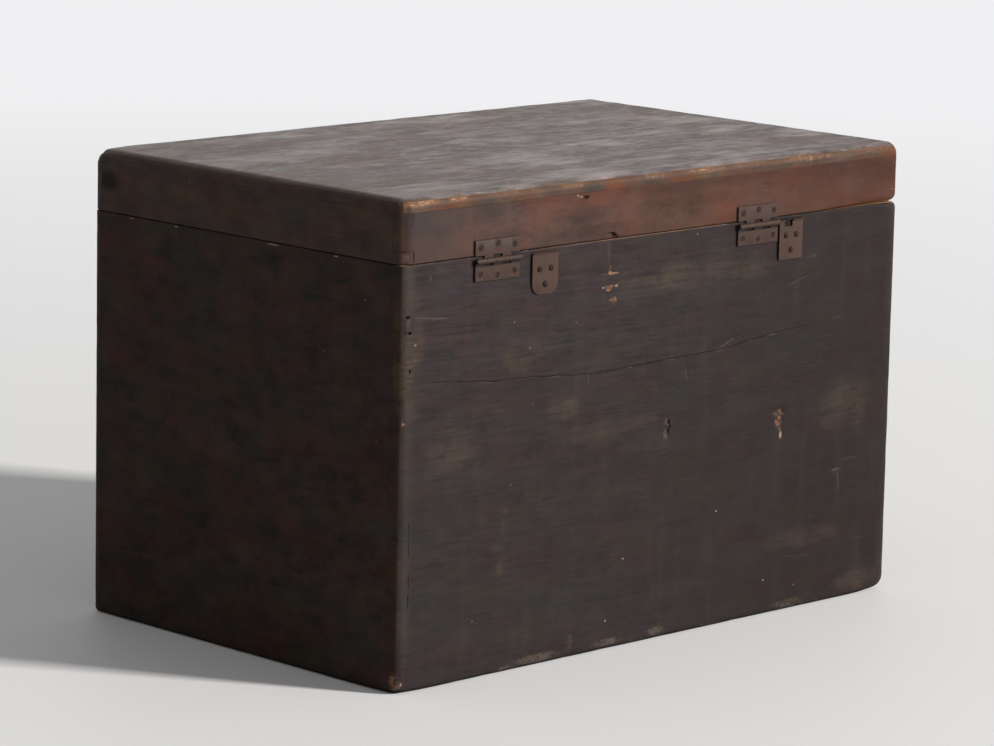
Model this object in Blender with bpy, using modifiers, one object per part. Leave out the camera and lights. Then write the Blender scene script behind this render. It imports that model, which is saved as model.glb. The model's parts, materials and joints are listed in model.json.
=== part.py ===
"""Painted wooden chest: a dovetailed box under a shallow boxed lid on two butt hinges.

Metres, +Z up. X runs along the chest, the hinges are on the +Y side, and the origin is the middle of
the underside. Left and right are as seen from the front, which faces -Y.
"""

import math

import bmesh
import bpy
from mathutils import Matrix

# Overall sizes
LENGTH = 0.910
DEPTH = 0.580
BODY_HEIGHT = 0.529
LID_HEIGHT = 0.079
LID_GAP = 0.001

# Boards
WALL = 0.018
RAIL = 0.018
LID_PANEL = 0.017
BOTTOM = 0.016
RABBET = 0.009
BOTTOM_BOARDS = 5
SEAM = 0.0003
EDGE_RADIUS = 0.010
FOOT_RADIUS = 0.006

# Dovetails: pins on the end boards, narrow on the outside
PIN_COUNT = 5
PIN_WIDTH = 0.014
PIN_FLARE = 0.003
FIRST_TAIL = 0.065
FOOT_PIN = 0.030
RAIL_FOOT_PIN = 0.014
RAIL_HEAD_PIN = 0.012

# Butt hinges, screwed on the outside of the back
HINGE_WIDTH = 0.076
RIGHT_HINGE_FROM_END = 0.158
LEFT_HINGE_FROM_END = 0.281
LEAF = 0.0018
LEAF_REACH = 0.0255
AXIS_DROP = 0.0056
BARREL_RADIUS = 0.0036
BARREL_GAP = 0.0002
BARREL_RELIEF = 0.0006
KNUCKLES = 5
KNUCKLE_PLAY = 0.0004
HINGE_PIN_RADIUS = 0.0016
HINGE_PIN_PLAY = 0.00025
HINGE_PIN_HEAD_RADIUS = 0.0026
HINGE_PIN_HEAD = 0.0012
HINGE_PIN_CHAMFER = 0.0008

# Old hinge leaves left in place beside the hinges, on their left
OLD_WIDTH = 0.045
OLD_REACH = 0.0495
OLD_LEAF = 0.0020
OLD_AXIS_DROP = 0.0075
OLD_BARREL_RADIUS = 0.0034
OLD_BORE_RADIUS = 0.0018
OLD_NOTCH = 0.012
OLD_NOTCH_SHIFT = 0.004
RIGHT_OLD_SPACE = 0.022
LEFT_OLD_SPACE = 0.0036
RIGHT_OLD_CORNER = 0.014
LEFT_OLD_CORNER = 0.002

# Slotted wood screws: flat heads in the hinges, round heads on the old leaves
SCREW_RADIUS = 0.0019
SCREW_HEAD_RADIUS = 0.0036
SCREW_SINK = 0.0002
SCREW_STOP = 0.0025
SCREW_TIP = 0.005
SCREW_EDGE = 0.009
SCREW_MARGIN = 0.0092
SCREW_STAGGER = 0.003
ROUND_HEAD_RADIUS = 0.0040
ROUND_HEAD = 0.0022
OLD_SCREW_EDGE = 0.0125
OLD_SCREW_FOOT = 0.0125
OLD_SCREW_RISE = 0.0195
SLOT_WIDTH = 0.0009
SLOT_DEPTH = 0.0008
SLOT_TURN = math.radians(37)

# Nails
NAIL_RADIUS = 0.0014
NAIL_HEAD_RADIUS = 0.0030
NAIL_HEAD = 0.0012
NAIL_TIP = 0.006
NAIL_BITE = 0.026
NAIL_SET = 0.0006
NAIL_FROM_END = 0.075

# Places worked out from the sizes above
HALF_LENGTH = LENGTH / 2
HALF_DEPTH = DEPTH / 2
LID_BASE = BODY_HEIGHT + LID_GAP
HEIGHT = LID_BASE + LID_HEIGHT
PANEL_BASE = HEIGHT - LID_PANEL
RAIL_TOP = PANEL_BASE - SEAM
AXIS_Y = HALF_DEPTH + BARREL_GAP + BARREL_RADIUS
AXIS_Z = BODY_HEIGHT - AXIS_DROP
OLD_AXIS_Y = HALF_DEPTH + BARREL_GAP + OLD_BARREL_RADIUS
OLD_AXIS_Z = BODY_HEIGHT - OLD_AXIS_DROP
RIGHT_HINGE_X = HALF_LENGTH - RIGHT_HINGE_FROM_END
LEFT_HINGE_X = LEFT_HINGE_FROM_END - HALF_LENGTH

# How the shapes are cut and how finely they are faceted
CUT_PAST = 0.004
MERGE = 0.00001
EDGE_STEPS = 4
CORNER_STEPS = 6
ROUND_STEPS = 12
NAIL_STEPS = 8
TONGUE_END = 0.15
SHARP_ANGLE = math.radians(35)


def start_scene():
    """Empty the scene and return the chest's collection and the one for cutters."""
    for obj in list(bpy.data.objects):
        bpy.data.objects.remove(obj)
    made = []
    for name in ("painted_wooden_chest", "cutters"):
        collection = bpy.data.collections.new(name)
        bpy.context.scene.collection.children.link(collection)
        made.append(collection)
    return made


def finish(name, color, roughness, metallic):
    material = bpy.data.materials.new(name)
    material.use_nodes = True
    shader = material.node_tree.nodes["Principled BSDF"]
    shader.inputs["Base Color"].default_value = (*color, 1)
    shader.inputs["Roughness"].default_value = roughness
    shader.inputs["Metallic"].default_value = metallic
    return material


CHEST, CUTTERS = start_scene()
BLACK_PAINT = finish("worn_black_paint", (0.035, 0.028, 0.024), 0.55, 0)
RED_BROWN = finish("worn_red_brown_paint", (0.10, 0.045, 0.028), 0.5, 0)
BARE_PINE = finish("bare_aged_pine", (0.30, 0.19, 0.10), 0.7, 0)
OLD_IRON = finish("rusty_painted_iron", (0.09, 0.06, 0.048), 0.55, 0.4)
DARK_STEEL = finish("dark_slotted_steel", (0.06, 0.045, 0.04), 0.45, 0.7)

LID_AXIS = bpy.data.objects.new("lid_axis", None)
LID_AXIS.location = (0, AXIS_Y, AXIS_Z)
CHEST.objects.link(LID_AXIS)


def mesh_of(name, bm):
    """Turn a bmesh into a mesh with its faces pointing out."""
    bmesh.ops.recalc_face_normals(bm, faces=bm.faces)
    mesh = bpy.data.meshes.new(name)
    bm.to_mesh(mesh)
    bm.free()
    return mesh


def add_piece(name, mesh, material, place=(0, 0, 0), on_lid=False):
    """Add one sub-part. A piece on the lid hangs on the empty at the hinge axis."""
    obj = bpy.data.objects.new(name, mesh)
    obj.location = place
    if not mesh.materials:
        mesh.materials.append(material)
    CHEST.objects.link(obj)
    if on_lid:
        obj.parent = LID_AXIS
        obj.matrix_parent_inverse = Matrix.Translation(LID_AXIS.location).inverted()
    return obj


def add_cutter(name, mesh, place=(0, 0, 0)):
    obj = bpy.data.objects.new(name, mesh)
    obj.location = place
    obj.hide_render = True
    obj.display_type = "WIRE"
    CUTTERS.objects.link(obj)
    return obj


def combine(obj, other, operation="DIFFERENCE"):
    modifier = obj.modifiers.new(other.name, "BOOLEAN")
    modifier.operation = operation
    modifier.solver = "EXACT"
    modifier.object = other


def add_block(bm, low, high):
    """Add a box between two corners to a bmesh."""
    for vert in bmesh.ops.create_cube(bm, size=1)["verts"]:
        vert.co = [b if c > 0 else a for a, b, c in zip(low, high, vert.co)]


def block(name, low, high):
    bm = bmesh.new()
    add_block(bm, low, high)
    return mesh_of(name, bm)


def edges_at(bm, height):
    """The edges that lie at one height."""
    return [e for e in bm.edges if all(abs(v.co.z - height) < MERGE for v in e.verts)]


def round_off(bm, edges, radius, steps):
    bmesh.ops.bevel(bm, geom=edges, offset=radius, segments=steps, profile=0.5, affect="EDGES")


def baked(obj):
    """Replace a helper object by the mesh that its modifiers make."""
    bpy.context.view_layer.update()
    graph = bpy.context.evaluated_depsgraph_get()
    mesh = bpy.data.meshes.new_from_object(obj.evaluated_get(graph))
    bpy.data.objects.remove(obj)
    mesh.shade_smooth()
    mesh.set_sharp_from_angle(angle=SHARP_ANGLE)
    return mesh


def turned(name, profile, steps):
    """A round mesh about Z from a profile of (radius, height) points, listed from the top down."""
    bm = bmesh.new()
    verts = [bm.verts.new((radius, 0, height)) for radius, height in profile]
    for upper, lower in zip(verts, verts[1:]):
        bm.edges.new((upper, lower))
    outline = bpy.data.meshes.new(name)
    bm.to_mesh(outline)
    bm.free()
    obj = add_cutter(name, outline)
    screw = obj.modifiers.new("turn", "SCREW")
    screw.steps = steps
    screw.render_steps = steps
    screw.use_merge_vertices = True
    screw.merge_threshold = MERGE
    return baked(obj)


def stamped(name, mesh, places):
    """One cutter that holds a copy of a mesh at each place."""
    bm = bmesh.new()
    for place in places:
        copy = mesh.copy()
        copy.transform(place)
        bm.from_mesh(copy)
    return add_cutter(name, mesh_of(name, bm))


def body_form():
    """The outer form of the body: round upright edges and a worn foot."""
    bm = bmesh.new()
    add_block(bm, (-HALF_LENGTH, -HALF_DEPTH, 0), (HALF_LENGTH, HALF_DEPTH, BODY_HEIGHT))
    upright = [e for e in bm.edges if e.verts[0].co.z != e.verts[1].co.z]
    round_off(bm, upright, EDGE_RADIUS, EDGE_STEPS)
    round_off(bm, edges_at(bm, 0), min(FOOT_RADIUS, EDGE_RADIUS - SEAM), EDGE_STEPS // 2)
    return add_cutter("body_form", mesh_of("body_form", bm))


def lid_form():
    """The outer form of the lid: round upright and top edges."""
    bm = bmesh.new()
    add_block(bm, (-HALF_LENGTH, -HALF_DEPTH, LID_BASE), (HALF_LENGTH, HALF_DEPTH, HEIGHT))
    lower = edges_at(bm, LID_BASE)
    round_off(bm, [e for e in bm.edges if e not in lower], EDGE_RADIUS, EDGE_STEPS)
    return add_cutter("lid_form", mesh_of("lid_form", bm))


def body_pins():
    """Heights (low, high) of the pins on the outside of an end board, from the foot up."""
    first = BODY_HEIGHT - FIRST_TAIL - PIN_WIDTH / 2
    pitch = (first - FOOT_PIN) / PIN_COUNT
    middles = [first - pitch * i for i in reversed(range(PIN_COUNT))]
    return [(-CUT_PAST, FOOT_PIN)] + [(z - PIN_WIDTH / 2, z + PIN_WIDTH / 2) for z in middles]


def rail_pins():
    """Heights of the half pins at the foot and the head of a lid rail."""
    foot = (LID_BASE - CUT_PAST, LID_BASE + RAIL_FOOT_PIN)
    return [foot, (RAIL_TOP - RAIL_HEAD_PIN, RAIL_TOP + CUT_PAST)]


def tails_between(pins, top):
    """The heights between each pin and the next one, or the top of the board."""
    ends = [low for low, high in pins[1:]] + [top + CUT_PAST]
    return [(pin[1], end) for pin, end in zip(pins, ends) if end > pin[1]]


def add_wedge(bm, corner, span, slope, depths, grow):
    """One dovetail at a corner of the chest: its height grows by slope times the depth from the end."""
    past = 2 * CUT_PAST
    for vert in bmesh.ops.create_cube(bm, size=1)["verts"]:
        inward = -past if vert.co.x > 0 else depths[0]
        across = -past if vert.co.y > 0 else depths[1]
        widen = slope * inward + grow
        height = span[1] + widen if vert.co.z > 0 else span[0] - widen
        vert.co = (corner[0] * (HALF_LENGTH - inward), corner[1] * (HALF_DEPTH - across), height)


def dovetail_cutters(name, board, pins, top):
    """The cutter that takes the pins out of the long boards, and the one that leaves them on the ends."""
    sockets = bmesh.new()
    tails = bmesh.new()
    slope = PIN_FLARE / board
    for corner in ((-1, -1), (-1, 1), (1, -1), (1, 1)):
        for pin in pins:
            add_wedge(sockets, corner, pin, slope, (board + SEAM, board + CUT_PAST), SEAM)
        for tail in tails_between(pins, top):
            add_wedge(tails, corner, tail, -slope, (board + CUT_PAST, board + SEAM), 0)
    return (
        add_cutter(name + "_pin_sockets", mesh_of(name + "_pin_sockets", sockets)),
        add_cutter(name + "_tail_sockets", mesh_of(name + "_tail_sockets", tails)),
    )


def add_frame(names, board, heights, form, cutters, material, on_lid=False):
    """Four dovetailed boards round the chest: front, back, left end and right end."""
    sockets, tails = cutters
    out = (HALF_LENGTH + CUT_PAST, HALF_DEPTH + CUT_PAST)
    inner = (HALF_LENGTH - board, HALF_DEPTH - board)
    corners = (
        ((-out[0], -out[1]), (out[0], -inner[1])),
        ((-out[0], inner[1]), (out[0], out[1])),
        ((-out[0], -out[1]), (-inner[0], out[1])),
        ((inner[0], -out[1]), (out[0], out[1])),
    )
    made = []
    for name, (low, high), cutter in zip(names, corners, (sockets, sockets, tails, tails)):
        mesh = block(name, (*low, heights[0]), (*high, heights[1]))
        made.append(add_piece(name, mesh, material, on_lid=on_lid))
        combine(made[-1], form, "INTERSECT")
        combine(made[-1], cutter)
    return made


def flat_head_profile(length, grow=0, above=0):
    """Top-down outline of a flat-headed screw with its face at height 0, or of its hole."""
    head = SCREW_HEAD_RADIUS + grow
    shank = SCREW_RADIUS + grow
    cone = SCREW_HEAD_RADIUS - SCREW_RADIUS
    face = [(0, above), (head, above)] + ([(head, 0)] if above else [])
    return face + [(shank, -cone), (shank, SCREW_TIP - length), (0, -length - grow)]


def round_head_profile(length):
    """Top-down outline of a round-headed screw that bears at height 0."""
    turns = [math.radians(angle) for angle in (90, 60, 30, 0)]
    dome = [(ROUND_HEAD_RADIUS * math.cos(a), ROUND_HEAD * math.sin(a)) for a in turns]
    dome[0] = (0, ROUND_HEAD)
    return dome + [(SCREW_RADIUS, 0), (SCREW_RADIUS, SCREW_TIP - length), (0, -length)]


def shank_hole_profile(length):
    """Top-down outline of the hole for a round-headed screw."""
    shank = SCREW_RADIUS + SEAM
    return [(0, CUT_PAST), (shank, CUT_PAST), (shank, SCREW_TIP - length), (0, -length - SEAM)]


def slotted(name, profile):
    """A turned screw with a slot across its head."""
    obj = add_cutter(name, turned(name, profile, ROUND_STEPS))
    top = profile[0][1]
    reach = max(SCREW_HEAD_RADIUS, ROUND_HEAD_RADIUS) + CUT_PAST
    low = (-reach, -SLOT_WIDTH / 2, top - SLOT_DEPTH)
    slot = add_cutter("slot", block("slot", low, (reach, SLOT_WIDTH / 2, top + CUT_PAST)))
    combine(obj, slot)
    mesh = baked(obj)
    bpy.data.objects.remove(slot)
    return mesh


def add_screws(label, shape, hole, places, on_lid=False):
    """Screws driven into the back at the given places. Returns the cutter for their holes."""
    mesh = slotted(label, shape)
    for i, place in enumerate(places):
        screw = add_piece(f"{label}_{i + 1}", mesh, DARK_STEEL, place, on_lid)
        screw.rotation_mode = "ZYX"
        screw.rotation_euler = (-math.pi / 2, 0, SLOT_TURN * i)
    into_back = Matrix.Rotation(-math.pi / 2, 4, "X")
    stamps = [Matrix.Translation(place) @ into_back for place in places]
    return stamped(label + "_holes", turned(label + "_hole", hole, ROUND_STEPS), stamps)


def along_x(name, radius, spans):
    """Round bars about the X axis, one for each (low, high) span."""
    lay = Matrix.Rotation(math.pi / 2, 4, "Y")
    bm = bmesh.new()
    for low, high in spans:
        half = (high - low) / 2
        bar = turned(name, [(0, half), (radius, half), (radius, -half), (0, -half)], ROUND_STEPS)
        bar.transform(Matrix.Translation(((low + high) / 2, 0, 0)) @ lay)
        bm.from_mesh(bar)
    return mesh_of(name, bm)


def add_knuckles(leaf, spans, radius, bore, root, back, front):
    """Give a leaf its knuckles about its own X axis: tongues from its edge at root, barrels and a bore."""
    tongues = bmesh.new()
    inside = math.copysign(TONGUE_END * radius, root)
    for low, high in spans:
        corner = (low + SEAM, back, min(root, inside))
        add_block(tongues, corner, (high - SEAM, front, max(root, inside)))
    ends = [(spans[0][0] - CUT_PAST, spans[-1][1] + CUT_PAST)]
    shapes = (
        ("tongues", mesh_of("tongues", tongues), "UNION"),
        ("barrels", along_x("barrels", radius, spans), "UNION"),
        ("bore", along_x("bore", bore, ends), "DIFFERENCE"),
    )
    for label, mesh, operation in shapes:
        combine(leaf, add_cutter(f"{leaf.name}_{label}", mesh, leaf.location), operation)


def add_hinge_leaf(hinge, hinge_x, owner, board):
    """One leaf of a butt hinge with its three screws. Returns the cutter for the holes in its board."""
    on_lid = owner == "lid"
    way = 1 if on_lid else -1
    half = HINGE_WIDTH / 2
    back = HALF_DEPTH + SEAM - AXIS_Y
    front = back + LEAF
    root = way * (BARREL_RADIUS + BARREL_RELIEF)
    free = way * LEAF_REACH
    name = f"{hinge}_{owner}_leaf"
    plate = block(name, (-half, back, min(root, free)), (half, front, max(root, free)))
    leaf = add_piece(name, plate, OLD_IRON, (hinge_x, AXIS_Y, AXIS_Z), on_lid)

    pitch = HINGE_WIDTH / KNUCKLES
    starts = [pitch * i - half for i in range(1 if on_lid else 0, KNUCKLES, 2)]
    spans = [(x + KNUCKLE_PLAY / 2, x + pitch - KNUCKLE_PLAY / 2) for x in starts]
    bore = HINGE_PIN_RADIUS + HINGE_PIN_PLAY
    add_knuckles(leaf, spans, BARREL_RADIUS, bore, root + way * BARREL_RELIEF, back, front)

    step = half - SCREW_EDGE
    reach = LEAF_REACH - SCREW_MARGIN
    spots = ((step, reach), (0, reach + SCREW_STAGGER), (-step, reach))
    face = AXIS_Y + front - SCREW_SINK
    places = [(hinge_x + x, face, AXIS_Z + way * z) for x, z in spots]
    length = SEAM + LEAF + board - SCREW_STOP
    shape = flat_head_profile(length)
    hole = flat_head_profile(length, SEAM, CUT_PAST)
    holes = add_screws(f"{hinge}_{owner}_screw", shape, hole, places, on_lid)
    combine(leaf, holes)
    return holes


def add_hinge_pin(hinge, hinge_x):
    """The pin along X through a hinge's knuckles, with a low head at each end."""
    half = HINGE_WIDTH / 2 + SEAM
    end = half + HINGE_PIN_HEAD
    rim = HINGE_PIN_HEAD_RADIUS
    upper = [(0, end), (rim - HINGE_PIN_CHAMFER, end), (rim, end - HINGE_PIN_CHAMFER)]
    upper += [(rim, half), (HINGE_PIN_RADIUS, half)]
    lower = [(radius, -height) for radius, height in reversed(upper)]
    mesh = turned(f"{hinge}_pin", upper + lower, ROUND_STEPS)
    mesh.transform(Matrix.Rotation(math.pi / 2, 4, "Y"))
    add_piece(f"{hinge}_pin", mesh, DARK_STEEL, (hinge_x, AXIS_Y, AXIS_Z))


def add_old_leaf(name, middle, corner):
    """An old hinge leaf with two empty knuckles and its screws. Returns the cutter for their holes."""
    half = OLD_WIDTH / 2
    back = HALF_DEPTH + SEAM - OLD_AXIS_Y
    front = back + OLD_LEAF
    root = -OLD_BARREL_RADIUS - BARREL_RELIEF
    bm = bmesh.new()
    add_block(bm, (-half, back, -OLD_REACH), (half, front, root))
    lower = [e for e in edges_at(bm, -OLD_REACH) if e.verts[0].co.y != e.verts[1].co.y]
    round_off(bm, lower, corner, CORNER_STEPS)
    leaf = add_piece(name, mesh_of(name, bm), OLD_IRON, (middle, OLD_AXIS_Y, OLD_AXIS_Z))
    notch = (OLD_NOTCH_SHIFT - OLD_NOTCH / 2, OLD_NOTCH_SHIFT + OLD_NOTCH / 2)
    spans = [(-half, notch[0]), (notch[1], half)]
    add_knuckles(leaf, spans, OLD_BARREL_RADIUS, OLD_BORE_RADIUS, root - BARREL_RELIEF, back, front)

    out = half - OLD_SCREW_EDGE
    foot = OLD_AXIS_Z - OLD_REACH + OLD_SCREW_FOOT
    head = foot + OLD_SCREW_RISE
    face = OLD_AXIS_Y + front + SEAM
    places = [(middle + out, face, head), (middle - out, face, head), (middle, face, foot)]
    length = 2 * SEAM + OLD_LEAF + WALL - SCREW_STOP
    shape = round_head_profile(length)
    holes = add_screws(name + "_screw", shape, shank_hole_profile(length), places)
    combine(leaf, holes)
    return holes


def nail_profile(length, grow=0, above=0):
    """Top-down outline of a nail with the top of its head at height 0, or of its hole."""
    head = NAIL_HEAD_RADIUS + grow
    shank = NAIL_RADIUS + grow
    under = -NAIL_HEAD - grow
    outline = [(0, above), (head, above), (head, under), (shank, under)]
    return outline + [(shank, NAIL_TIP - length), (0, -length - grow)]


def add_nails(label, length, places, on_lid=False):
    """Nails at the given matrices, head up along Z. Returns the cutter for their holes."""
    mesh = turned(label, nail_profile(length), NAIL_STEPS)
    for i, place in enumerate(places):
        nail = add_piece(f"{label}_{i + 1}", mesh, DARK_STEEL, place.to_translation(), on_lid)
        nail.rotation_euler = place.to_euler()
    hole = turned(label + "_hole", nail_profile(length, SEAM, CUT_PAST), NAIL_STEPS)
    return stamped(label + "_holes", hole, places)


def add_bottom(walls):
    """Loose bottom boards from front to back in the walls' rabbet, nailed up into the long walls."""
    half_x = HALF_LENGTH - WALL + RABBET
    half_y = HALF_DEPTH - WALL + RABBET
    low = (-half_x, -half_y, -CUT_PAST)
    pocket = add_cutter("bottom_pocket", block("bottom_pocket", low, (half_x, half_y, BOTTOM + SEAM)))
    width = 2 * half_x / BOTTOM_BOARDS
    lefts = [width * i - half_x for i in range(BOTTOM_BOARDS)]
    nail_y = half_y - RABBET / 2
    head_down = Matrix.Rotation(math.pi, 4, "X")
    spots = [(left + width / 2, y) for left in lefts for y in (-nail_y, nail_y)]
    places = [Matrix.Translation((x, y, NAIL_SET)) @ head_down for x, y in spots]
    holes = add_nails("bottom_nail", BOTTOM + NAIL_BITE, places)
    for i, left in enumerate(lefts):
        name = f"bottom_board_{i + 1}"
        low = (left + SEAM, -half_y + SEAM, 0)
        high = (left + width - SEAM, half_y - SEAM, BOTTOM)
        combine(add_piece(name, block(name, low, high), BARE_PINE), holes)
    for wall in walls:
        combine(wall, pocket)
    for long_wall in walls[:2]:
        combine(long_wall, holes)


def add_lid_panel(form, rails):
    """The lid's panel, nailed down on the rails."""
    low = (-HALF_LENGTH - CUT_PAST, -HALF_DEPTH - CUT_PAST, PANEL_BASE)
    high = (HALF_LENGTH + CUT_PAST, HALF_DEPTH + CUT_PAST, HEIGHT + CUT_PAST)
    panel = add_piece("lid_panel", block("lid_panel", low, high), BLACK_PAINT, on_lid=True)
    combine(panel, form, "INTERSECT")
    inset = RAIL / 2 + NAIL_HEAD_RADIUS
    end_x = HALF_LENGTH - inset
    side_y = HALF_DEPTH - inset
    nail_x = HALF_LENGTH - NAIL_FROM_END
    spots = [(x, y) for y in (-side_y, side_y) for x in (-nail_x, 0, nail_x)]
    spots += [(x, y) for x in (-end_x, end_x) for y in (-HALF_DEPTH / 2, HALF_DEPTH / 2)]
    places = [Matrix.Translation((x, y, HEIGHT - NAIL_SET)) for x, y in spots]
    holes = add_nails("lid_nail", LID_PANEL + NAIL_BITE, places, on_lid=True)
    for board in [panel] + rails:
        combine(board, holes)


def build_body():
    """The fixed box. Returns its back board."""
    names = ("front_board", "back_board", "left_end_board", "right_end_board")
    heights = (-CUT_PAST, BODY_HEIGHT + CUT_PAST)
    cutters = dovetail_cutters("body", WALL, body_pins(), BODY_HEIGHT)
    walls = add_frame(names, WALL, heights, body_form(), cutters, BLACK_PAINT)
    add_bottom(walls)
    return walls[1]


def build_lid():
    """The moving lid. Returns its back rail."""
    names = ("lid_front_rail", "lid_back_rail", "lid_left_rail", "lid_right_rail")
    heights = (LID_BASE - CUT_PAST, RAIL_TOP)
    cutters = dovetail_cutters("lid", RAIL, rail_pins(), RAIL_TOP)
    form = lid_form()
    rails = add_frame(names, RAIL, heights, form, cutters, RED_BROWN, on_lid=True)
    add_lid_panel(form, rails)
    return rails[1]


def build_hinges(back_board, back_rail):
    """Both hinges, with the old leaf that lies beside each."""
    hinges = (
        ("right", RIGHT_HINGE_X, RIGHT_OLD_SPACE, RIGHT_OLD_CORNER),
        ("left", LEFT_HINGE_X, LEFT_OLD_SPACE, LEFT_OLD_CORNER),
    )
    for side, hinge_x, space, corner in hinges:
        hinge = side + "_hinge"
        combine(back_board, add_hinge_leaf(hinge, hinge_x, "body", WALL))
        combine(back_rail, add_hinge_leaf(hinge, hinge_x, "lid", RAIL))
        add_hinge_pin(hinge, hinge_x)
        old_x = hinge_x - HINGE_WIDTH / 2 - space - OLD_WIDTH / 2
        combine(back_board, add_old_leaf(side + "_old_leaf", old_x, corner))


build_hinges(build_body(), build_lid())
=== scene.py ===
"""Looks of an old painted chest: worn brown-black paint on pine, with iron butt hinges on the back.

Metres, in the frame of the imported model: X along the chest, the hinges on the +Y side, Z up.
"""

import json
import math
from collections import namedtuple

import bmesh
import bpy
from mathutils import Matrix, Vector, noise


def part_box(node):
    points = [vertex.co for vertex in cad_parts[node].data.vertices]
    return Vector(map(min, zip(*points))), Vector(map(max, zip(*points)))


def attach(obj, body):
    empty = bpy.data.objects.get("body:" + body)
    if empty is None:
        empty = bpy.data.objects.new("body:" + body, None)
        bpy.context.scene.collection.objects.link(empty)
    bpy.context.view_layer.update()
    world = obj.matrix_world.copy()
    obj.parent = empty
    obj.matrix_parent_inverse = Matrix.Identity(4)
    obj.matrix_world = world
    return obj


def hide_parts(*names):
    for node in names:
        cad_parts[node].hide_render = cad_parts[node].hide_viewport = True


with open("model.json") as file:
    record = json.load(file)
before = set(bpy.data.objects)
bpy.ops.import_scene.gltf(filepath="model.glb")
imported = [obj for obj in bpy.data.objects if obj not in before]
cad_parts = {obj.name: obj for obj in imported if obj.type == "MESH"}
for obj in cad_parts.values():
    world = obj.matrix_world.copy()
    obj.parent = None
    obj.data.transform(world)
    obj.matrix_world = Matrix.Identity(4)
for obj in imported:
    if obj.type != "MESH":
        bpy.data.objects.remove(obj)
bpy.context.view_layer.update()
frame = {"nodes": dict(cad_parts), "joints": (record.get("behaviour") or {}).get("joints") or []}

# Places taken from the frame
HALF_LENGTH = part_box("right_end_board")[1].x
HALF_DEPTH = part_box("back_board")[1].y
WALL = HALF_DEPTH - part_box("back_board")[0].y
BODY_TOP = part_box("back_board")[1].z
LID_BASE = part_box("lid_back_rail")[0].z
PANEL_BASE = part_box("lid_panel")[0].z
LID_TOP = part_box("lid_panel")[1].z
SEAM = PANEL_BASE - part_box("lid_back_rail")[1].z
LEAF_SPANS = [[corner.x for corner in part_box(side + "_hinge_body_leaf")] for side in ("right", "left")]
HINGE_AXIS = Vector(frame["joints"][0]["pos_m"])

# What counts as one place, as one flat face, as a hard edge, and as facing a way
MERGE = 0.00001
FLAT = math.radians(0.4)
SHARP = math.radians(38)
FLAT_HEAD_SHARP = math.radians(20)
FACING = 0.9

# How far in from an arris the boards are cut finely, so that it can wear round, and the cuts over the rest
ARRIS_CUTS = (0.0012, 0.0028, 0.005, 0.0075, 0.010, 0.013, 0.0165, 0.020)
THROUGH_CUTS = ARRIS_CUTS[:5]
ALONG_GRAIN = 0.012
ACROSS_GRAIN = 0.008
ON_OUTSIDE = 0.0001

# How round the outer form has worn. Foot and head are the radii along its base and its top, end_head is the
# one along the top of its ends, and corner is what the near back upright has more. The losses are what the
# foot and the head have more at the far back, near back and near front corners, and how far that reaches.
Loss = namedtuple("Loss", "far near front reach")
Form = namedtuple("Form", "base top upright corner foot head end_head foot_loss head_loss")
BODY_FORM = Form(
    base=0.0, top=BODY_TOP, upright=0.0125, corner=0, foot=0.0072, head=0.0012, end_head=0.0012,
    foot_loss=Loss(far=0.012, near=0.006, front=0, reach=0.06),
    head_loss=Loss(far=0.007, near=0, front=0, reach=0.06))
LID_FORM = Form(
    base=LID_BASE, top=LID_TOP, upright=0.0140, corner=0.006, foot=0.0012, head=0.0125, end_head=0.0115,
    foot_loss=Loss(far=0.009, near=0, front=0, reach=0.20),
    head_loss=Loss(far=0.004, near=0.002, front=0.008, reach=0.06))
CORNER_REACH = 0.06
WEAR_DEPTH = 0.013

# Dings of two lengths wear an arris rounder: the part of the smaller ones, and what they add to a radius
DING = 0.035
SMALL_DING = 0.012
SMALL_DING_PART = 0.6
DING_MORE = 0.35
DING_MORE_UPRIGHT = 0.08

# The faces have sunk by up to this much in long waves, and by a part of it in short ones
WAVE = 0.0004
LONG_WAVE = 0.16
SHORT_WAVE = 0.03
SHORT_WAVE_PART = 0.4

# The long split in the back board, as (x, z) from the near end, and its section
SPLIT = ((0.418, 0.3835), (0.400, 0.382), (0.287, 0.372), (0.111, 0.362),
         (-0.073, 0.3655), (-0.264, 0.379), (-0.333, 0.385), (-0.36, 0.388))
SPLIT_LEVEL = 0.3735
SPLIT_HALF_WIDTH = 0.0007
SPLIT_DEPTH = 0.004
SPLIT_CUTS = (-0.004, -0.0018, -0.0007, 0, 0.0007, 0.004)
SPLIT_CLEAR = 0.007
# The board's grid bends to the split within this reach, and not at the board's ends
SPLIT_REACH = 0.070
SPLIT_END = 0.432
SPLIT_END_TAPER = 0.02
# It wanders and opens in short waves, and closes toward its two ends
SPLIT_WANDER = 0.0012
SPLIT_WANDER_LENGTH = 0.017
SPLIT_NEAR_TAPER = 0.03
SPLIT_FAR_TAPER = 0.16
SPLIT_OPEN = 0.62
SPLIT_OPEN_CHANGE = 0.5
SPLIT_OPEN_LENGTH = 0.03
SPLIT_GROOVE = 1.6
# Only the outer skin is grooved, and its lower lip is rubbed
SPLIT_SKIN = 0.001
SPLIT_LIP = 0.002
SPLIT_LIP_RUB = 0.7
SPLIT_LIP_CHANGE = 0.9
SPLIT_LIP_LENGTH = 0.02

# Paint fills the seam under the lid's panel away from the near end
FILLED_FROM = 0.15
FILL_TAPER = 0.1

# The back rim under the lid is worn to the wood, most between the hinges, and dark behind their leaves
RIM_LINE = 0.0006
RIM_BETWEEN = (-0.130, 0.190)
RIM_TAPER = 0.03
RIM_BARE = 0.75
RIM_FAR_BARE = 0.35
RIM_MORE_BETWEEN = 0.75
RIM_CHANGE = 0.5
RIM_CHANGE_LENGTH = 0.022
RIM_DARK = 0.85

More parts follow.
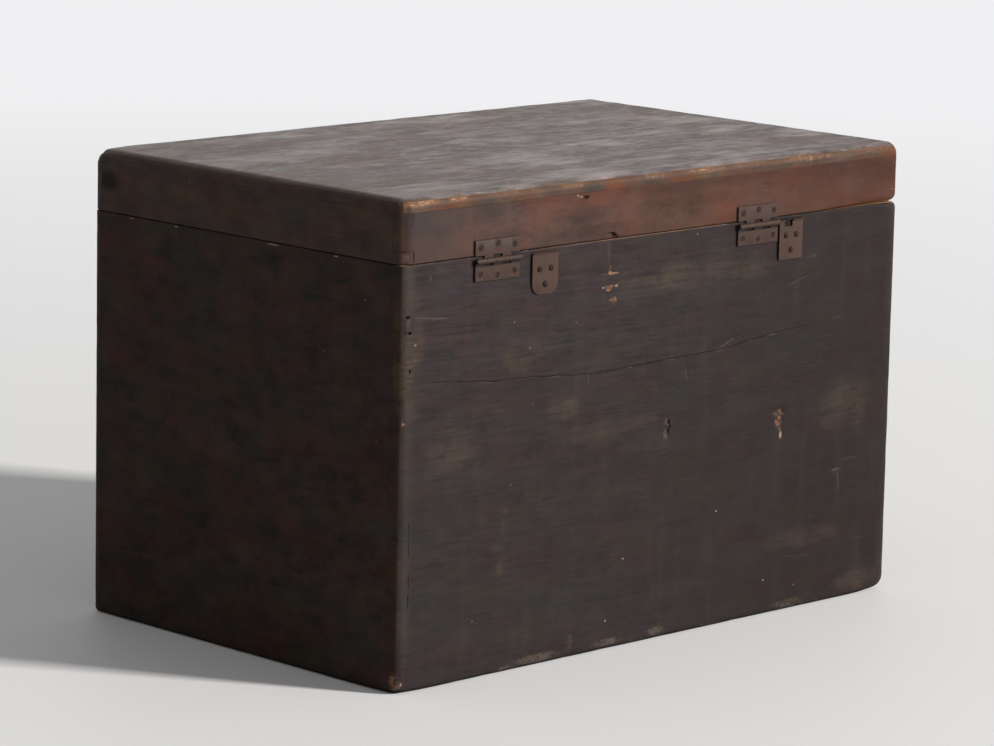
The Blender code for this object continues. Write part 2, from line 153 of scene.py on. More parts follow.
# The foot is rubbed in patches, and its lowest edge is darkened as a painted contact shadow
FOOT_SHADE_EDGE = 0.0040
FOOT_RUB = 0.010
FOOT_RUBBED = 0.8
FOOT_PATCHY = 0.45
FOOT_CHANGE = 0.9
FOOT_CHANGE_LENGTH = 0.06
FOOT_LEAST = 0.2
FOOT_FADE = 1.4
FOOT_SHADE = 0.92

# A board's finishes in order, and the depths and the slope that tell them apart
ON_BACK, BARE, ON_END, ON_TOP, ON_FRONT, ON_FAR_END = range(6)
INSIDE = 0.0006
RIM_PAINT = 0.0035
TOP_SKIN = 0.003
UPWARD = 0.7

# The bottom boards
BOTTOM_BOARDS = 5
BOTTOM_CUT = 0.03
BOTTOM_LONG_EDGE = 0.1
BOTTOM_EASE = 0.0015

# The hinges: sheet iron rolled round the pins
LEAF_SEAM = 0.0003
LEAF = 0.0018
BARREL_CLEARANCE = 0.0066
# How far below the barrel the painted shade on a body leaf fades out
SHADE_REACH = 0.0016
KNUCKLES = 5
KNUCKLE_PLAY = 0.0004
ROLL = math.radians(285)
ROLL_STEPS = 18
SHEET_EDGE = 0.0004
LEAF_SCREWS = 3

# A countersink: its radius and depth, the square cell it is cut from, and the flat left round it
SINK_RADIUS = 0.0042
SINK_DEPTH = 0.0014
SINK_CELL = 1.18 * SINK_RADIUS
SINK_CUTS = 4
SINK_RIM = 0.0002

# The old leaves: only the left one has a notch between its stubs, and the right one has rounder corners
OLD_LEAF = 0.0020
OLD_DROP = 0.0075
OLD_RADIUS = 0.0034
OLD_CLEARANCE = 0.0060
OLD_NOTCHES = {"right": (), "left": (-0.002, 0.0132)}
OLD_ROLL = math.radians(115)
OLD_CORNERS = {"right": 0.014, "left": 0.002}
OLD_CORNER_STEPS = 8

# Screws with flat and round heads, pins and nails. Pin and nail heads are (radius, depth) from the top.
TURN_STEPS = 20
HEAD_RADIUS = 0.0036
HEAD_FLAT_RADIUS = 0.9 * HEAD_RADIUS
HEAD_EDGE = 0.0002
HEAD_DEPTH = 0.0019
ROUND_HEAD_RADIUS = 0.0040
ROUND_HEAD = 0.0022
ROUND_HEAD_TURNS = [math.radians(degrees) for degrees in range(75, -1, -15)]
SHANK_RADIUS = 0.0019
SCREW_POINT = 0.005
SLOT_HALF = 0.0004
SLOT_DEPTH = 0.0009
SLOT_TURN = math.radians(37)
SLOT_SLOPE = 0.1
PIN_HEAD = ((0, 0), (0.0018, 0), (0.0025, 0.0005), (0.0026, 0.0012), (0.0016, 0.0012))
NAIL_RADIUS = 0.0014
NAIL_HEAD = ((0, 0), (0.0026, 0), (0.0030, 0.0004), (0.0030, 0.0012), (NAIL_RADIUS, 0.0012))
NAIL_POINT = 0.006
NAILS = 10
STOPPED = 0.004

# The floor, the light and its levels
FLOOR_SIZE = 30
FLOOR_CLEAR = 1.3
FLOOR_GONE = 5.5
LIT_POINT = Vector((0, 0, 0.3))
TO_LAMP = Vector((-0.457, 0.791, 0.407))
LAMP_DISTANCE = 30.0
LAMP_SIZE = 3.2
LAMP_LEVEL = 1.30
FILL_LEVEL = 0.30
SURROUND_LEVEL = 0.80

# The camera as read from the picture, which is 994 pixels wide
CAMERA_PLACE = Vector((4.1011, 4.1441, 1.3818))
CAMERA_YAW = math.radians(-134.66)
CAMERA_PITCH = math.radians(-10.46)
CAMERA_ROLL = math.radians(1.19)
FOCAL_PIXELS = 4497.8
PICTURE_WIDTH = 994
SENSOR_MM = 36
SEEN_TO = 100

# A mark is a spot on a face, with its middle along the face and up, its half sizes and its depth. The last
# four say how much bare wood, rubbed paint, dark stain and painted shade, and warm thin paint it shows.
Mark = namedtuple("Mark", "along up wide high depth bare rub stain warm", defaults=(0, 0, 0, 0, 0))
MARK_CUTS = (-1.1, -0.75, -0.4, 0, 0.4, 0.75, 1.1)
MARK_WINDOW = 1.3
MARK_END = 1.15
MARK_FADE = 1.5
# A scratch is a straight line between two places, with its width and what it shows.
Scratch = namedtuple("Scratch", "start end width depth bare rub stain warm", defaults=(0, 0, 0, 0, 0))
SCRATCH_CUTS = (-1, -0.4, 0.4, 1)
SCRATCH_HALF = 0.45
SCRATCH_TAPER = 8
# A side is the axis it faces along, the sign of that, and the axis that runs along it.
BACK_SIDE = (1, 1, 0)
RIGHT_SIDE = (0, 1, 1)

BACK_MARKS = (
    # Three knocks below the lid that show the wood
    Mark(0.0960, 0.4862, 0.0050, 0.0030, 0.0005, bare=1.3),
    Mark(0.0890, 0.4853, 0.0110, 0.0022, 0.0003, bare=1.15),
    Mark(0.0965, 0.4690, 0.0130, 0.0036, 0.0004, bare=0.75, rub=0.8),
    Mark(0.0980, 0.4668, 0.0070, 0.0056, 0.0005, bare=0.85, rub=0.8),
    Mark(0.0845, 0.4690, 0.0036, 0.0020, 0.0, bare=1.5),
    Mark(0.1085, 0.4685, 0.0030, 0.0016, 0.0, bare=1.6),
    Mark(0.0985, 0.4618, 0.0065, 0.0018, 0.0003, stain=0.5),
    Mark(0.0899, 0.4513, 0.0095, 0.0070, 0.0002, bare=0.60, rub=0.4, warm=1),
    # A gouge like a keyhole
    Mark(-0.0130, 0.2672, 0.0055, 0.0100, 0.0012, bare=0.35, rub=0.7, warm=1),
    Mark(-0.0145, 0.2835, 0.0045, 0.0055, 0.0008, rub=0.5, warm=1),
    Mark(-0.0182, 0.2820, 0.0014, 0.0036, 0.0020, stain=0.7),
    Mark(-0.0205, 0.2758, 0.0012, 0.0030, 0.0020, stain=0.7),
    Mark(-0.0172, 0.2698, 0.0011, 0.0044, 0.0020, stain=0.7),
    # A chip down the grain, palest at its foot
    Mark(-0.2275, 0.2690, 0.0135, 0.0065, 0.0012, bare=0.70, warm=1),
    Mark(-0.2285, 0.2580, 0.0090, 0.0100, 0.0014, bare=0.74, warm=1),
    Mark(-0.2310, 0.2470, 0.0048, 0.0040, 0.0010, bare=0.45, rub=0.8),
    Mark(-0.2330, 0.2385, 0.0030, 0.0060, 0.0008, bare=1.9),
    Mark(-0.2360, 0.2705, 0.0040, 0.0014, 0.0010, stain=0.6),
    # Scuffs and rubbed places
    Mark(-0.3440, 0.1780, 0.0125, 0.0034, 0.0003, bare=0.45, rub=0.6, warm=1),
    Mark(-0.3700, 0.1902, 0.0180, 0.0016, 0.0001, rub=0.2, warm=1),
    Mark(-0.2985, 0.1221, 0.0055, 0.0022, 0.0002, bare=0.3, warm=1),
    Mark(0.2736, 0.2060, 0.0050, 0.0030, 0.0001, bare=0.25, rub=0.4, warm=1),
    Mark(0.2764, 0.1849, 0.0040, 0.0120, 0.0001, rub=0.38, warm=0.8),
    Mark(0.2844, 0.1607, 0.0130, 0.0090, 0.0001, bare=0.15, rub=0.40, warm=0.9),
    Mark(0.2820, 0.1330, 0.0070, 0.0140, 0.0, rub=0.15, warm=0.6),
    Mark(0.2430, 0.3960, 0.0520, 0.0240, 0.0, warm=0.9),
    Mark(0.1720, 0.3260, 0.0340, 0.0200, 0.0, warm=0.9),
    Mark(-0.3550, 0.2600, 0.0750, 0.0500, 0.0, warm=0.6),
    Mark(-0.0500, 0.4700, 0.1700, 0.0210, 0.0, warm=1),
    Mark(-0.0900, 0.4880, 0.1000, 0.0140, 0.0, warm=0.8),
    Mark(0.3650, 0.2950, 0.0500, 0.0320, 0.0, warm=0.7),
    Mark(0.0900, 0.2900, 0.0900, 0.0140, 0.0, warm=0.6),
    Mark(-0.2800, 0.0950, 0.0900, 0.0160, 0.0, warm=0.6),
    Mark(0.0592, 0.2827, 0.0070, 0.0050, 0.0, rub=0.25, warm=0.9),
    Mark(0.2489, 0.4826, 0.0060, 0.0050, 0.0004, rub=0.6, stain=0.3),
    Mark(0.4090, 0.5110, 0.0070, 0.0050, 0.0002, rub=0.5),
    Mark(-0.2870, 0.4723, 0.0060, 0.0026, 0.0002, bare=0.35, warm=1),
    # The foot
    Mark(0.1532, 0.0210, 0.0060, 0.0120, 0.0003, rub=0.45, warm=0.9),
    Mark(0.2130, 0.0085, 0.0480, 0.0085, 0.0004, bare=0.2, rub=0.7, warm=1),
    Mark(0.0870, 0.0095, 0.0340, 0.0070, 0.0004, bare=0.2, rub=0.7, warm=1),
    Mark(-0.0044, 0.0105, 0.0180, 0.0070, 0.0004, bare=0.2, rub=0.7, warm=1),
    Mark(-0.2562, 0.0095, 0.0360, 0.0065, 0.0004, bare=0.2, rub=0.5, warm=1),
    Mark(-0.3950, 0.0200, 0.0600, 0.0160, 0.0, rub=0.10, warm=0.8),
    Mark(0.0604, 0.1148, 0.0018, 0.0013, 0.0, bare=2),
    Mark(0.0904, 0.0380, 0.0018, 0.0013, 0.0, bare=2),
    Mark(-0.2073, 0.0472, 0.0018, 0.0013, 0.0, bare=2),
    Mark(-0.1119, 0.1531, 0.0018, 0.0013, 0.0, bare=2),
)
BACK_SCRATCHES = (
    # Painted shadow beside the near side edges of the leaves, and behind the left old leaf's notch
    Scratch((0.3362, 0.4975), (0.3362, 0.5240), 0.0034, 0.0, stain=0.9),
    Scratch((0.2386, 0.4860), (0.2386, 0.5220), 0.0036, 0.0, stain=0.85),
    Scratch((-0.1348, 0.4975), (-0.1348, 0.5240), 0.0030, 0.0, stain=0.9),
    Scratch((-0.2138, 0.4720), (-0.2138, 0.5220), 0.0040, 0.0, stain=0.9),
    Scratch((-0.2240, 0.5225), (-0.2400, 0.5225), 0.0110, 0.0, stain=1),
    # Scratches through the top coat
    Scratch((0.0951, 0.4975), (0.1000, 0.4841), 0.0024, 0.0003, bare=0.8, rub=1),
    Scratch((0.1144, 0.4861), (0.1000, 0.4847), 0.0012, 0.0001, rub=1),
    Scratch((0.1006, 0.5259), (0.0988, 0.5004), 0.0050, 0.0, rub=0.45, warm=1),
    Scratch((0.1589, 0.4067), (0.1573, 0.3640), 0.0020, 0.0, rub=0.45),
    Scratch((0.1515, 0.3450), (0.1477, 0.2847), 0.0020, 0.0, rub=0.5),
    Scratch((0.1311, 0.3744), (0.1305, 0.3565), 0.0018, 0.0001, rub=0.8),
    Scratch((-0.1091, 0.3753), (-0.1371, 0.3834), 0.0016, 0.0002, rub=1),
    Scratch((-0.0447, 0.3610), (-0.0514, 0.3342), 0.0040, 0.0002, rub=0.4, warm=1),
    Scratch((-0.2242, 0.4348), (-0.2852, 0.4486), 0.0012, 0.0001, rub=0.7),
    Scratch((-0.3480, 0.1760), (-0.3535, 0.1446), 0.0034, 0.0002, rub=0.6, warm=1, bare=0.3),
    Scratch((-0.2413, 0.0746), (-0.3100, 0.0680), 0.0012, 0.0001, rub=0.5),
)
# The near back corner, where the end board's pins and the back board's tails meet
CORNER_MARKS = (
    Mark(0.4480, 0.1300, 0.0110, 0.1300, 0.0, rub=0.06),
    Mark(0.4380, 0.4250, 0.0240, 0.1150, 0.0, bare=0.22, rub=0.2, warm=1.6),
    Mark(0.4443, 0.4659, 0.0034, 0.0022, 0.0030, stain=0.9),
    Mark(0.4405, 0.4464, 0.0027, 0.0018, 0.0030, stain=0.9),
    Mark(0.4510, 0.4467, 0.0030, 0.0020, 0.0020, stain=0.8),
    Mark(0.4394, 0.3996, 0.0018, 0.0026, 0.0025, stain=0.9),
    Mark(0.4310, 0.4310, 0.0022, 0.0020, 0.0, bare=1.4),
    Mark(0.4480, 0.3360, 0.0030, 0.0020, 0.0, bare=1.4),
    Mark(0.4500, 0.0100, 0.0070, 0.0140, 0.0004, bare=0.5, rub=0.5),
    Mark(0.4455, 0.0130, 0.0018, 0.0024, 0.0, bare=2),
)
CORNER_SCRATCHES = (
    Scratch((0.436, 0.4651), (0.372, 0.458), 0.0014, 0.0002, rub=1),
    Scratch((0.4366, 0.108), (0.4366, 0.124), 0.0018, 0.0006, stain=0.4),
    Scratch((0.4366, 0.132), (0.4366, 0.150), 0.0018, 0.0006, stain=0.5),
    Scratch((0.4366, 0.172), (0.4368, 0.190), 0.0018, 0.0006, stain=0.5),
    Scratch((0.4368, 0.200), (0.4368, 0.216), 0.0018, 0.0006, stain=0.4),
)
LID_BACK_MARKS = (
    Mark(0.1562, 0.5888, 0.0028, 0.0026, 0.0010, bare=1.8),
    Mark(0.1506, 0.5874, 0.0036, 0.0020, 0.0010, bare=1.7),
    Mark(0.1420, 0.5858, 0.0045, 0.0024, 0.0030, stain=0.9),
    Mark(0.1540, 0.5640, 0.0240, 0.0300, 0.0, stain=0.18),
    Mark(-0.2450, 0.5650, 0.0060, 0.0180, 0.0, rub=0.4),
    Mark(0.1870, 0.5440, 0.0215, 0.0080, 0.0, rub=0.2),
    Mark(-0.3200, 0.5850, 0.1300, 0.0120, 0.0, stain=0.22),
    Mark(-0.1500, 0.5880, 0.0800, 0.0090, 0.0, stain=0.22),
    Mark(0.2000, 0.5900, 0.0900, 0.0060, 0.0, stain=0.18),
    Mark(-0.3700, 0.5560, 0.0700, 0.0120, 0.0, warm=0.5),
)
LID_BACK_SCRATCHES = (
    # A splintered place at the parting line
    Scratch((0.1000, 0.5372), (0.0880, 0.5366), 0.0020, 0.0012, stain=0.6),
    Scratch((0.0952, 0.5372), (0.0838, 0.5302), 0.0044, 0.0030, stain=1),
    Scratch((0.0945, 0.5350), (0.0944, 0.5300), 0.0018, 0.0015, stain=0.8),
    # Painted shadow beside the near side edges of the leaves
    Scratch((0.3362, 0.5310), (0.3362, 0.5510), 0.0034, 0.0, stain=0.9),
    Scratch((-0.1348, 0.5310), (-0.1348, 0.5510), 0.0030, 0.0, stain=0.9),
    # The edges of the lowest pin at the near corner
    Scratch((0.4368, 0.530), (0.4368, 0.546), 0.0032, 0.0015, stain=1),
    Scratch((0.4365, 0.5445), (0.455, 0.5445), 0.0024, 0.0015, stain=0.9),
)
LID_END_MARKS = (
    Mark(-0.2579, 0.5702, 0.0195, 0.0155, 0.0008, stain=0.72),
    Mark(-0.1024, 0.5915, 0.0012, 0.0090, 0.0003, bare=0.5, rub=1),
    Mark(0.1570, 0.5520, 0.0260, 0.0016, 0.0, bare=0.3, rub=0.3, warm=1),
    Mark(0.1900, 0.5780, 0.0900, 0.0240, 0.0, warm=0.5),
)
END_MARKS = (
    Mark(0.2488, 0.3092, 0.0016, 0.0016, 0.0, bare=1.0),
    Mark(0.1000, 0.4373, 0.0100, 0.0014, 0.0002, rub=1.0),
    Mark(0.2820, 0.0150, 0.0085, 0.0220, 0.0004, bare=0.60, rub=0.8),
    Mark(0.2850, 0.0450, 0.0045, 0.0260, 0.0002, bare=0.55, rub=0.6),
    Mark(0.2850, 0.4400, 0.0060, 0.0450, 0.0, warm=1, rub=0.35),
    Mark(-0.2124, 0.5268, 0.0060, 0.0014, 0.0, bare=1.4),
    Mark(-0.1258, 0.5268, 0.0040, 0.0014, 0.0, bare=1.5),
    Mark(0.0578, 0.5268, 0.0140, 0.0012, 0.0, bare=1.2),
    Mark(0.1726, 0.5268, 0.0050, 0.0014, 0.0, bare=1.6),
)
PANEL_MARKS = (
    Mark(0.4385, 0.6030, 0.0045, 0.0026, bare=1.9),
    Mark(0.4150, 0.6035, 0.0040, 0.0024, bare=1.6),
    Mark(0.3700, 0.6045, 0.0040, 0.0024, bare=1.6),
    Mark(0.3520, 0.6045, 0.0040, 0.0026, bare=1.8),
    Mark(-0.0700, 0.6035, 0.0090, 0.0026, bare=1.5),
    Mark(0.425, 0.6040, 0.040, 0.0075, bare=0.65, rub=0.7),
    Mark(0.362, 0.6045, 0.022, 0.0065, bare=0.65, rub=0.7),
    Mark(0.270, 0.6045, 0.060, 0.0055, rub=0.35),
    Mark(0.163, 0.6040, 0.027, 0.0055, bare=0.42, rub=0.6),
    Mark(0.017, 0.6040, 0.030, 0.0060, bare=0.45, rub=0.6),
    Mark(-0.070, 0.6030, 0.048, 0.0065, bare=0.50, rub=0.6),
    Mark(-0.160, 0.6040, 0.045, 0.0055, rub=0.4),
    Mark(-0.275, 0.6030, 0.072, 0.0070, bare=0.45, rub=0.6),
    Mark(-0.390, 0.6040, 0.050, 0.0070, rub=0.3),
)
PIN_MARKS = (
    Mark(0.4475, 0.5375, 0.0085, 0.0065, 0.0, bare=0.42, rub=0.9),
)
MARKS = {
    "back_board": [(BACK_SIDE, BACK_MARKS + CORNER_MARKS, BACK_SCRATCHES + CORNER_SCRATCHES)],
    "lid_back_rail": [(BACK_SIDE, LID_BACK_MARKS, LID_BACK_SCRATCHES)],
    "lid_panel": [(BACK_SIDE, PANEL_MARKS, ())],
    "lid_right_rail": [(RIGHT_SIDE, LID_END_MARKS, ()), (BACK_SIDE, PIN_MARKS, ())],
    "right_end_board": [(RIGHT_SIDE, END_MARKS, ()), (BACK_SIDE, CORNER_MARKS, CORNER_SCRATCHES)],
}


def linear(hex_color):
    """A colour written as sRGB hex, as the linear colour that a shader takes."""
    parts = [int(hex_color[i:i + 2], 16) / 255 for i in (1, 3, 5)]
    return [c / 12.92 if c <= 0.04045 else ((c + 0.055) / 1.055) ** 2.4 for c in parts] + [1]


def node(tree, kind, links=(), out=None, stops=(), **settings):
    """Add a shader node: its settings, its ramp's stops, and a socket or a value for each named input."""
    made = tree.nodes.new("ShaderNode" + kind)
    for name, value in settings.items():
        setattr(made, name, value)
    for i, (place, color) in enumerate(stops):
        stop = made.color_ramp.elements[i] if i < 2 else made.color_ramp.elements.new(place)
        stop.position = place
        stop.color = linear(color)
    for name, value in dict(links).items():
        found = [s for s in made.inputs if s.enabled and s.name == name]
        socket = made.inputs[name] if isinstance(name, int) else found[0]
        if isinstance(value, bpy.types.NodeSocket):
            tree.links.new(value, socket)
        else:
            socket.default_value = value
    return next(s for s in made.outputs if s.enabled and out in (None, s.name))


def new_material(name):
    """An empty material with that name, its node tree and its shader."""
    material = bpy.data.materials.new(name)
    material.use_nodes = True
    return material, material.node_tree, material.node_tree.nodes["Principled BSDF"]


def grain_scale(axis, along, across):
    """The scale that stretches a pattern along one axis, from its length and width in millimetres."""
    scale = [1000 / across] * 3
    scale[axis] = 1000 / along
    return scale


# A tint clouds the coat where its noise is above low, in clouds of a length and a width in millimetres.
Tint = namedtuple("Tint", "color long wide low amount")
TINT_SOFTNESS = 0.2
# A fade comes in along an axis of the part, from start to end.
Fade = namedtuple("Fade", "color axis start end amount")
# A paint's grain runs along an axis. Its brush streaks and fibres have a length and a width in millimetres,
# and brushed is how much the streaks count against the clouds. Often is how much an arris is rubbed, least
# and most, arris and bare_arris are how far from it that reaches, and drift is how far the hue turns.
PaintLook = namedtuple(
    "PaintLook",
    "name axis streak fibre brushed dark mid tints scrape rub often wood arris bare_arris shine drift fades",
    defaults=((),))
WARM_PAINT = "#4c3e2f"
BLEACHED_WOOD = "#8c776b"
LIME = "#7d756c"
# Near black for stains and dirt, and for the painted shade at the foot and beside the leaves
WOOD_DIRT_AND_SHADE = "#0d0b0a"
# Near black for the painted shade on the ironwork
IRON_SHADE = "#100c0a"


def worn_paint(look):
    """Thin oil paint brushed on pine and rubbed for years: dull and clouded, streaky along the grain, brown
    where it is thin, and bare orange wood where an arris or a knock has lost it."""
    material, tree, shader = new_material(look.name)
    place = node(tree, "TexCoord", out="Object")
    # Clouds of thick and thin paint about 24 mm across, and brush streaks along the grain
    blotted = node(tree, "Mapping", {"Vector": place, "Scale": grain_scale(look.axis, 40, 24)})
    clouds = node(tree, "TexNoise", {"Vector": blotted, "Scale": 1, "Detail": 8, "Roughness": 0.72})
    brushed = node(tree, "Mapping", {"Vector": place, "Scale": grain_scale(look.axis, *look.streak)})
    streaks = node(tree, "TexNoise", {"Vector": brushed, "Scale": 1, "Detail": 7, "Roughness": 0.66})
    # Fibres of 2 mm or more, wider than real ones so that they show
    fine = node(tree, "Mapping", {"Vector": place, "Scale": grain_scale(look.axis, *look.fibre)})
    fibres = node(tree, "TexNoise", {"Vector": fine, "Scale": 1, "Detail": 4, "Roughness": 0.6})
    # Ragged edges of worn paint, in flakes of about 7 mm
    ragged = node(tree, "TexNoise", {"Vector": place, "Scale": 1000 / 7, "Detail": 6, "Roughness": 0.65})
    flakes = node(tree, "MapRange", {"Value": ragged, "From Min": 0.3, "From Max": 0.7})
    # Where the arris is worn comes and goes over about 110 mm
    patches = node(tree, "TexNoise", {"Vector": place, "Scale": 1000 / 110, "Detail": 2})

    coat = node(tree, "Mix", {"Factor": look.brushed, "A": clouds, "B": streaks})
    share = node(tree, "MapRange", {"Value": coat, "From Min": 0.40, "From Max": 0.60})
    color = node(
        tree, "Mix", {"Factor": share, "A": linear(look.dark), "B": linear(look.mid)}, data_type="RGBA")
    for i, (tint, long, wide, low, amount) in enumerate(look.tints):
        moved = node(tree, "Mapping", {"Vector": place, "Location": (0.37 * (i + 1), 0.21, 0.53 * i)})
        stretch = node(tree, "Mapping", {"Vector": moved, "Scale": grain_scale(look.axis, long, wide)})
        cloud = node(tree, "TexNoise", {"Vector": stretch, "Scale": 1, "Detail": 7, "Roughness": 0.68})
        cover = node(tree, "MapRange", {
            "Value": cloud, "From Min": low, "From Max": low + TINT_SOFTNESS, "To Max": amount})
        color = node(tree, "Mix", {"Factor": cover, "A": color, "B": linear(tint)}, data_type="RGBA")
    for tint, axis, start, end, amount in look.fades:
        along = node(tree, "SeparateXYZ", {"Vector": place}, out=axis)
        blend = node(tree, "MapRange", {"Value": along, "From Min": start, "From Max": end, "To Max": amount})
        color = node(tree, "Mix", {"Factor": blend, "A": color, "B": linear(tint)}, data_type="RGBA")
    # The coat turns redder and greener in patches of about 45 mm
    spread = node(tree, "Mapping", {"Vector": place, "Scale": grain_scale(look.axis, 90, 45)})
    drift = node(
        tree, "TexNoise", {"Vector": spread, "Scale": 1, "Detail": 6, "Roughness": 0.65}, out="Color")
    turn, depth = (
        node(tree, "MapRange", {
            "Value": node(tree, "SeparateColor", {"Color": drift}, out=channel),
            "From Min": 0.36, "From Max": 0.64,
            "To Min": middle - low * look.drift, "To Max": middle + high * look.drift})
        for channel, middle, low, high in (("Red", 0.5, 0.03, 0.07), ("Green", 1, 0.35, 0.9))
    )
    color = node(tree, "HueSaturation", {"Color": color, "Hue": turn, "Saturation": depth})
    # Scrapes come in patches of about 60 mm
    field = node(tree, "TexNoise", {"Vector": place, "Scale": 1000 / 60, "Detail": 3})
    scrapes = node(tree, "Math", {0: field, 1: 0.5, 2: fibres}, operation="MULTIPLY_ADD")
    scraped = node(tree, "MapRange", {"Value": scrapes, "From Min": 0.86, "From Max": 1.04, "To Max": 0.32})
    color = node(tree, "Mix", {"Factor": scraped, "A": color, "B": linear(look.scrape)}, data_type="RGBA")
    # Wipes down the faces, 24 mm wide and a hand tall
    hung = node(tree, "Mapping", {"Vector": place, "Scale": grain_scale(2, 150, 24)})
    wipes = node(tree, "TexNoise", {"Vector": hung, "Scale": 1, "Detail": 1})
    wiped = node(tree, "MapRange", {"Value": wipes, "From Min": 0.55, "From Max": 0.85, "To Max": 0.12})
    color = node(tree, "Mix", {"Factor": wiped, "A": color, "B": linear(look.scrape)}, data_type="RGBA")

    wear_and_shade = node(tree, "Attribute", attribute_name="wear_and_shade", out="Color")
    bare, rubbed, stained_and_shaded = (
        node(tree, "SeparateColor", {"Color": wear_and_shade}, out=name) for name in ("Red", "Green", "Blue")
    )
    warm = node(tree, "Attribute", attribute_name="wear_and_shade", out="Alpha")
    arris = node(tree, "Attribute", attribute_name="arris", out="Fac")
    near = node(tree, "MapRange", {"Value": arris, "From Min": look.arris, "From Max": 0.002})
    least, most = look.often
    often = node(tree, "MapRange", {
        "Value": patches, "From Min": 0.36, "From Max": 0.6, "To Min": least, "To Max": most})
    worn = node(tree, "Math", {0: near, 1: often}, operation="MULTIPLY")
    color = node(tree, "Mix", {"Factor": worn, "A": color, "B": linear(look.rub)}, data_type="RGBA")
    # Warm thin paint shows through in broken patches
    broken = node(tree, "Mix", {"Factor": 0.4, "A": share, "B": flakes})
    gathered = node(tree, "MapRange", {
        "Value": field, "From Min": 0.40, "From Max": 0.62, "To Min": 0.12, "To Max": 0.72})
    glow = node(tree, "Math", {0: broken, 1: gathered}, operation="MULTIPLY")
    glow = node(tree, "Math", {0: warm, 1: glow}, operation="MULTIPLY")
    color = node(tree, "Mix", {"Factor": glow, "A": color, "B": linear(WARM_PAINT)}, data_type="RGBA")
    rubs = node(tree, "Math", {0: worn, 1: rubbed}, operation="ADD")
    rough_rub = node(tree, "Math", {0: flakes, 1: 0.6, 2: rubs}, operation="MULTIPLY_ADD")
    thin = node(tree, "MapRange", {"Value": rough_rub, "From Min": 0.72, "From Max": 1.15, "To Max": 0.85})
    color = node(tree, "Mix", {"Factor": thin, "A": color, "B": linear(look.rub)}, data_type="RGBA")

    close = node(tree, "MapRange", {"Value": arris, "From Min": look.bare_arris, "From Max": 0})
    some = node(tree, "MapRange", {"Value": patches, "From Min": 0.46, "From Max": 0.62, "To Max": 0.8})
    lost = node(tree, "Math", {0: close, 1: some, 2: bare}, operation="MULTIPLY_ADD")
    rough_bare = node(tree, "Math", {0: flakes, 1: 0.8, 2: lost}, operation="MULTIPLY_ADD")
    raw = node(tree, "MapRange", {"Value": rough_bare, "From Min": 0.95, "From Max": 1.2})
    grain = node(tree, "ValToRGB", {"Fac": fibres}, stops=((0.35, look.wood[0]), (0.65, look.wood[1])))
    # Past 1 the bare wood is bleached by handling
    bleach = node(tree, "MapRange", {"Value": bare, "From Min": 1.1, "From Max": 1.9})
    grain = node(tree, "Mix", {"Factor": bleach, "A": grain, "B": linear(BLEACHED_WOOD)}, data_type="RGBA")
    color = node(tree, "Mix", {"Factor": raw, "A": color, "B": grain}, data_type="RGBA")

    # Specks of lime and dust, about 2 mm across, a few on each face
    spots = node(tree, "TexVoronoi", {"Vector": place, "Scale": 1000 / 60}, out="Distance")
    speck = node(tree, "MapRange", {"Value": spots, "From Min": 0.026, "From Max": 0.014, "To Max": 0.5})
    color = node(tree, "Mix", {"Factor": speck, "A": color, "B": linear(LIME)}, data_type="RGBA")
    # Near black where the stain channel is high: real stains, holes and dirt, and the painted shade at the
    # foot and beside the leaves
    dark = node(tree, "Math", {0: stained_and_shaded, 1: 0.94}, operation="MULTIPLY")
    color = node(tree, "Mix", {"Factor": dark, "A": color, "B": linear(WOOD_DIRT_AND_SHADE)}, data_type="RGBA")
    tree.links.new(color, shader.inputs["Base Color"])

    shader.inputs["Specular IOR Level"].default_value = look.shine
    gloss = node(tree, "MapRange", {
        "Value": streaks, "From Min": 0.3, "From Max": 0.7, "To Min": 0.46, "To Max": 0.62})
    # Bare wood, stains, dirt and the painted shade are dull
    matt = node(tree, "Math", {0: raw, 1: stained_and_shaded}, operation="MAXIMUM")
    dull = node(tree, "Mix", {"Factor": matt, "A": gloss, "B": 0.85})
    tree.links.new(dull, shader.inputs["Roughness"])
    relief = node(tree, "Math", {0: fibres, 1: 0.5, 2: streaks}, operation="MULTIPLY_ADD")
    sunk = node(tree, "Math", {0: raw, 1: -0.8, 2: relief}, operation="MULTIPLY_ADD")
    bump = node(tree, "Bump", {"Height": sunk, "Strength": 0.45, "Distance": 0.0003})
    tree.links.new(bump, shader.inputs["Normal"])
    return material


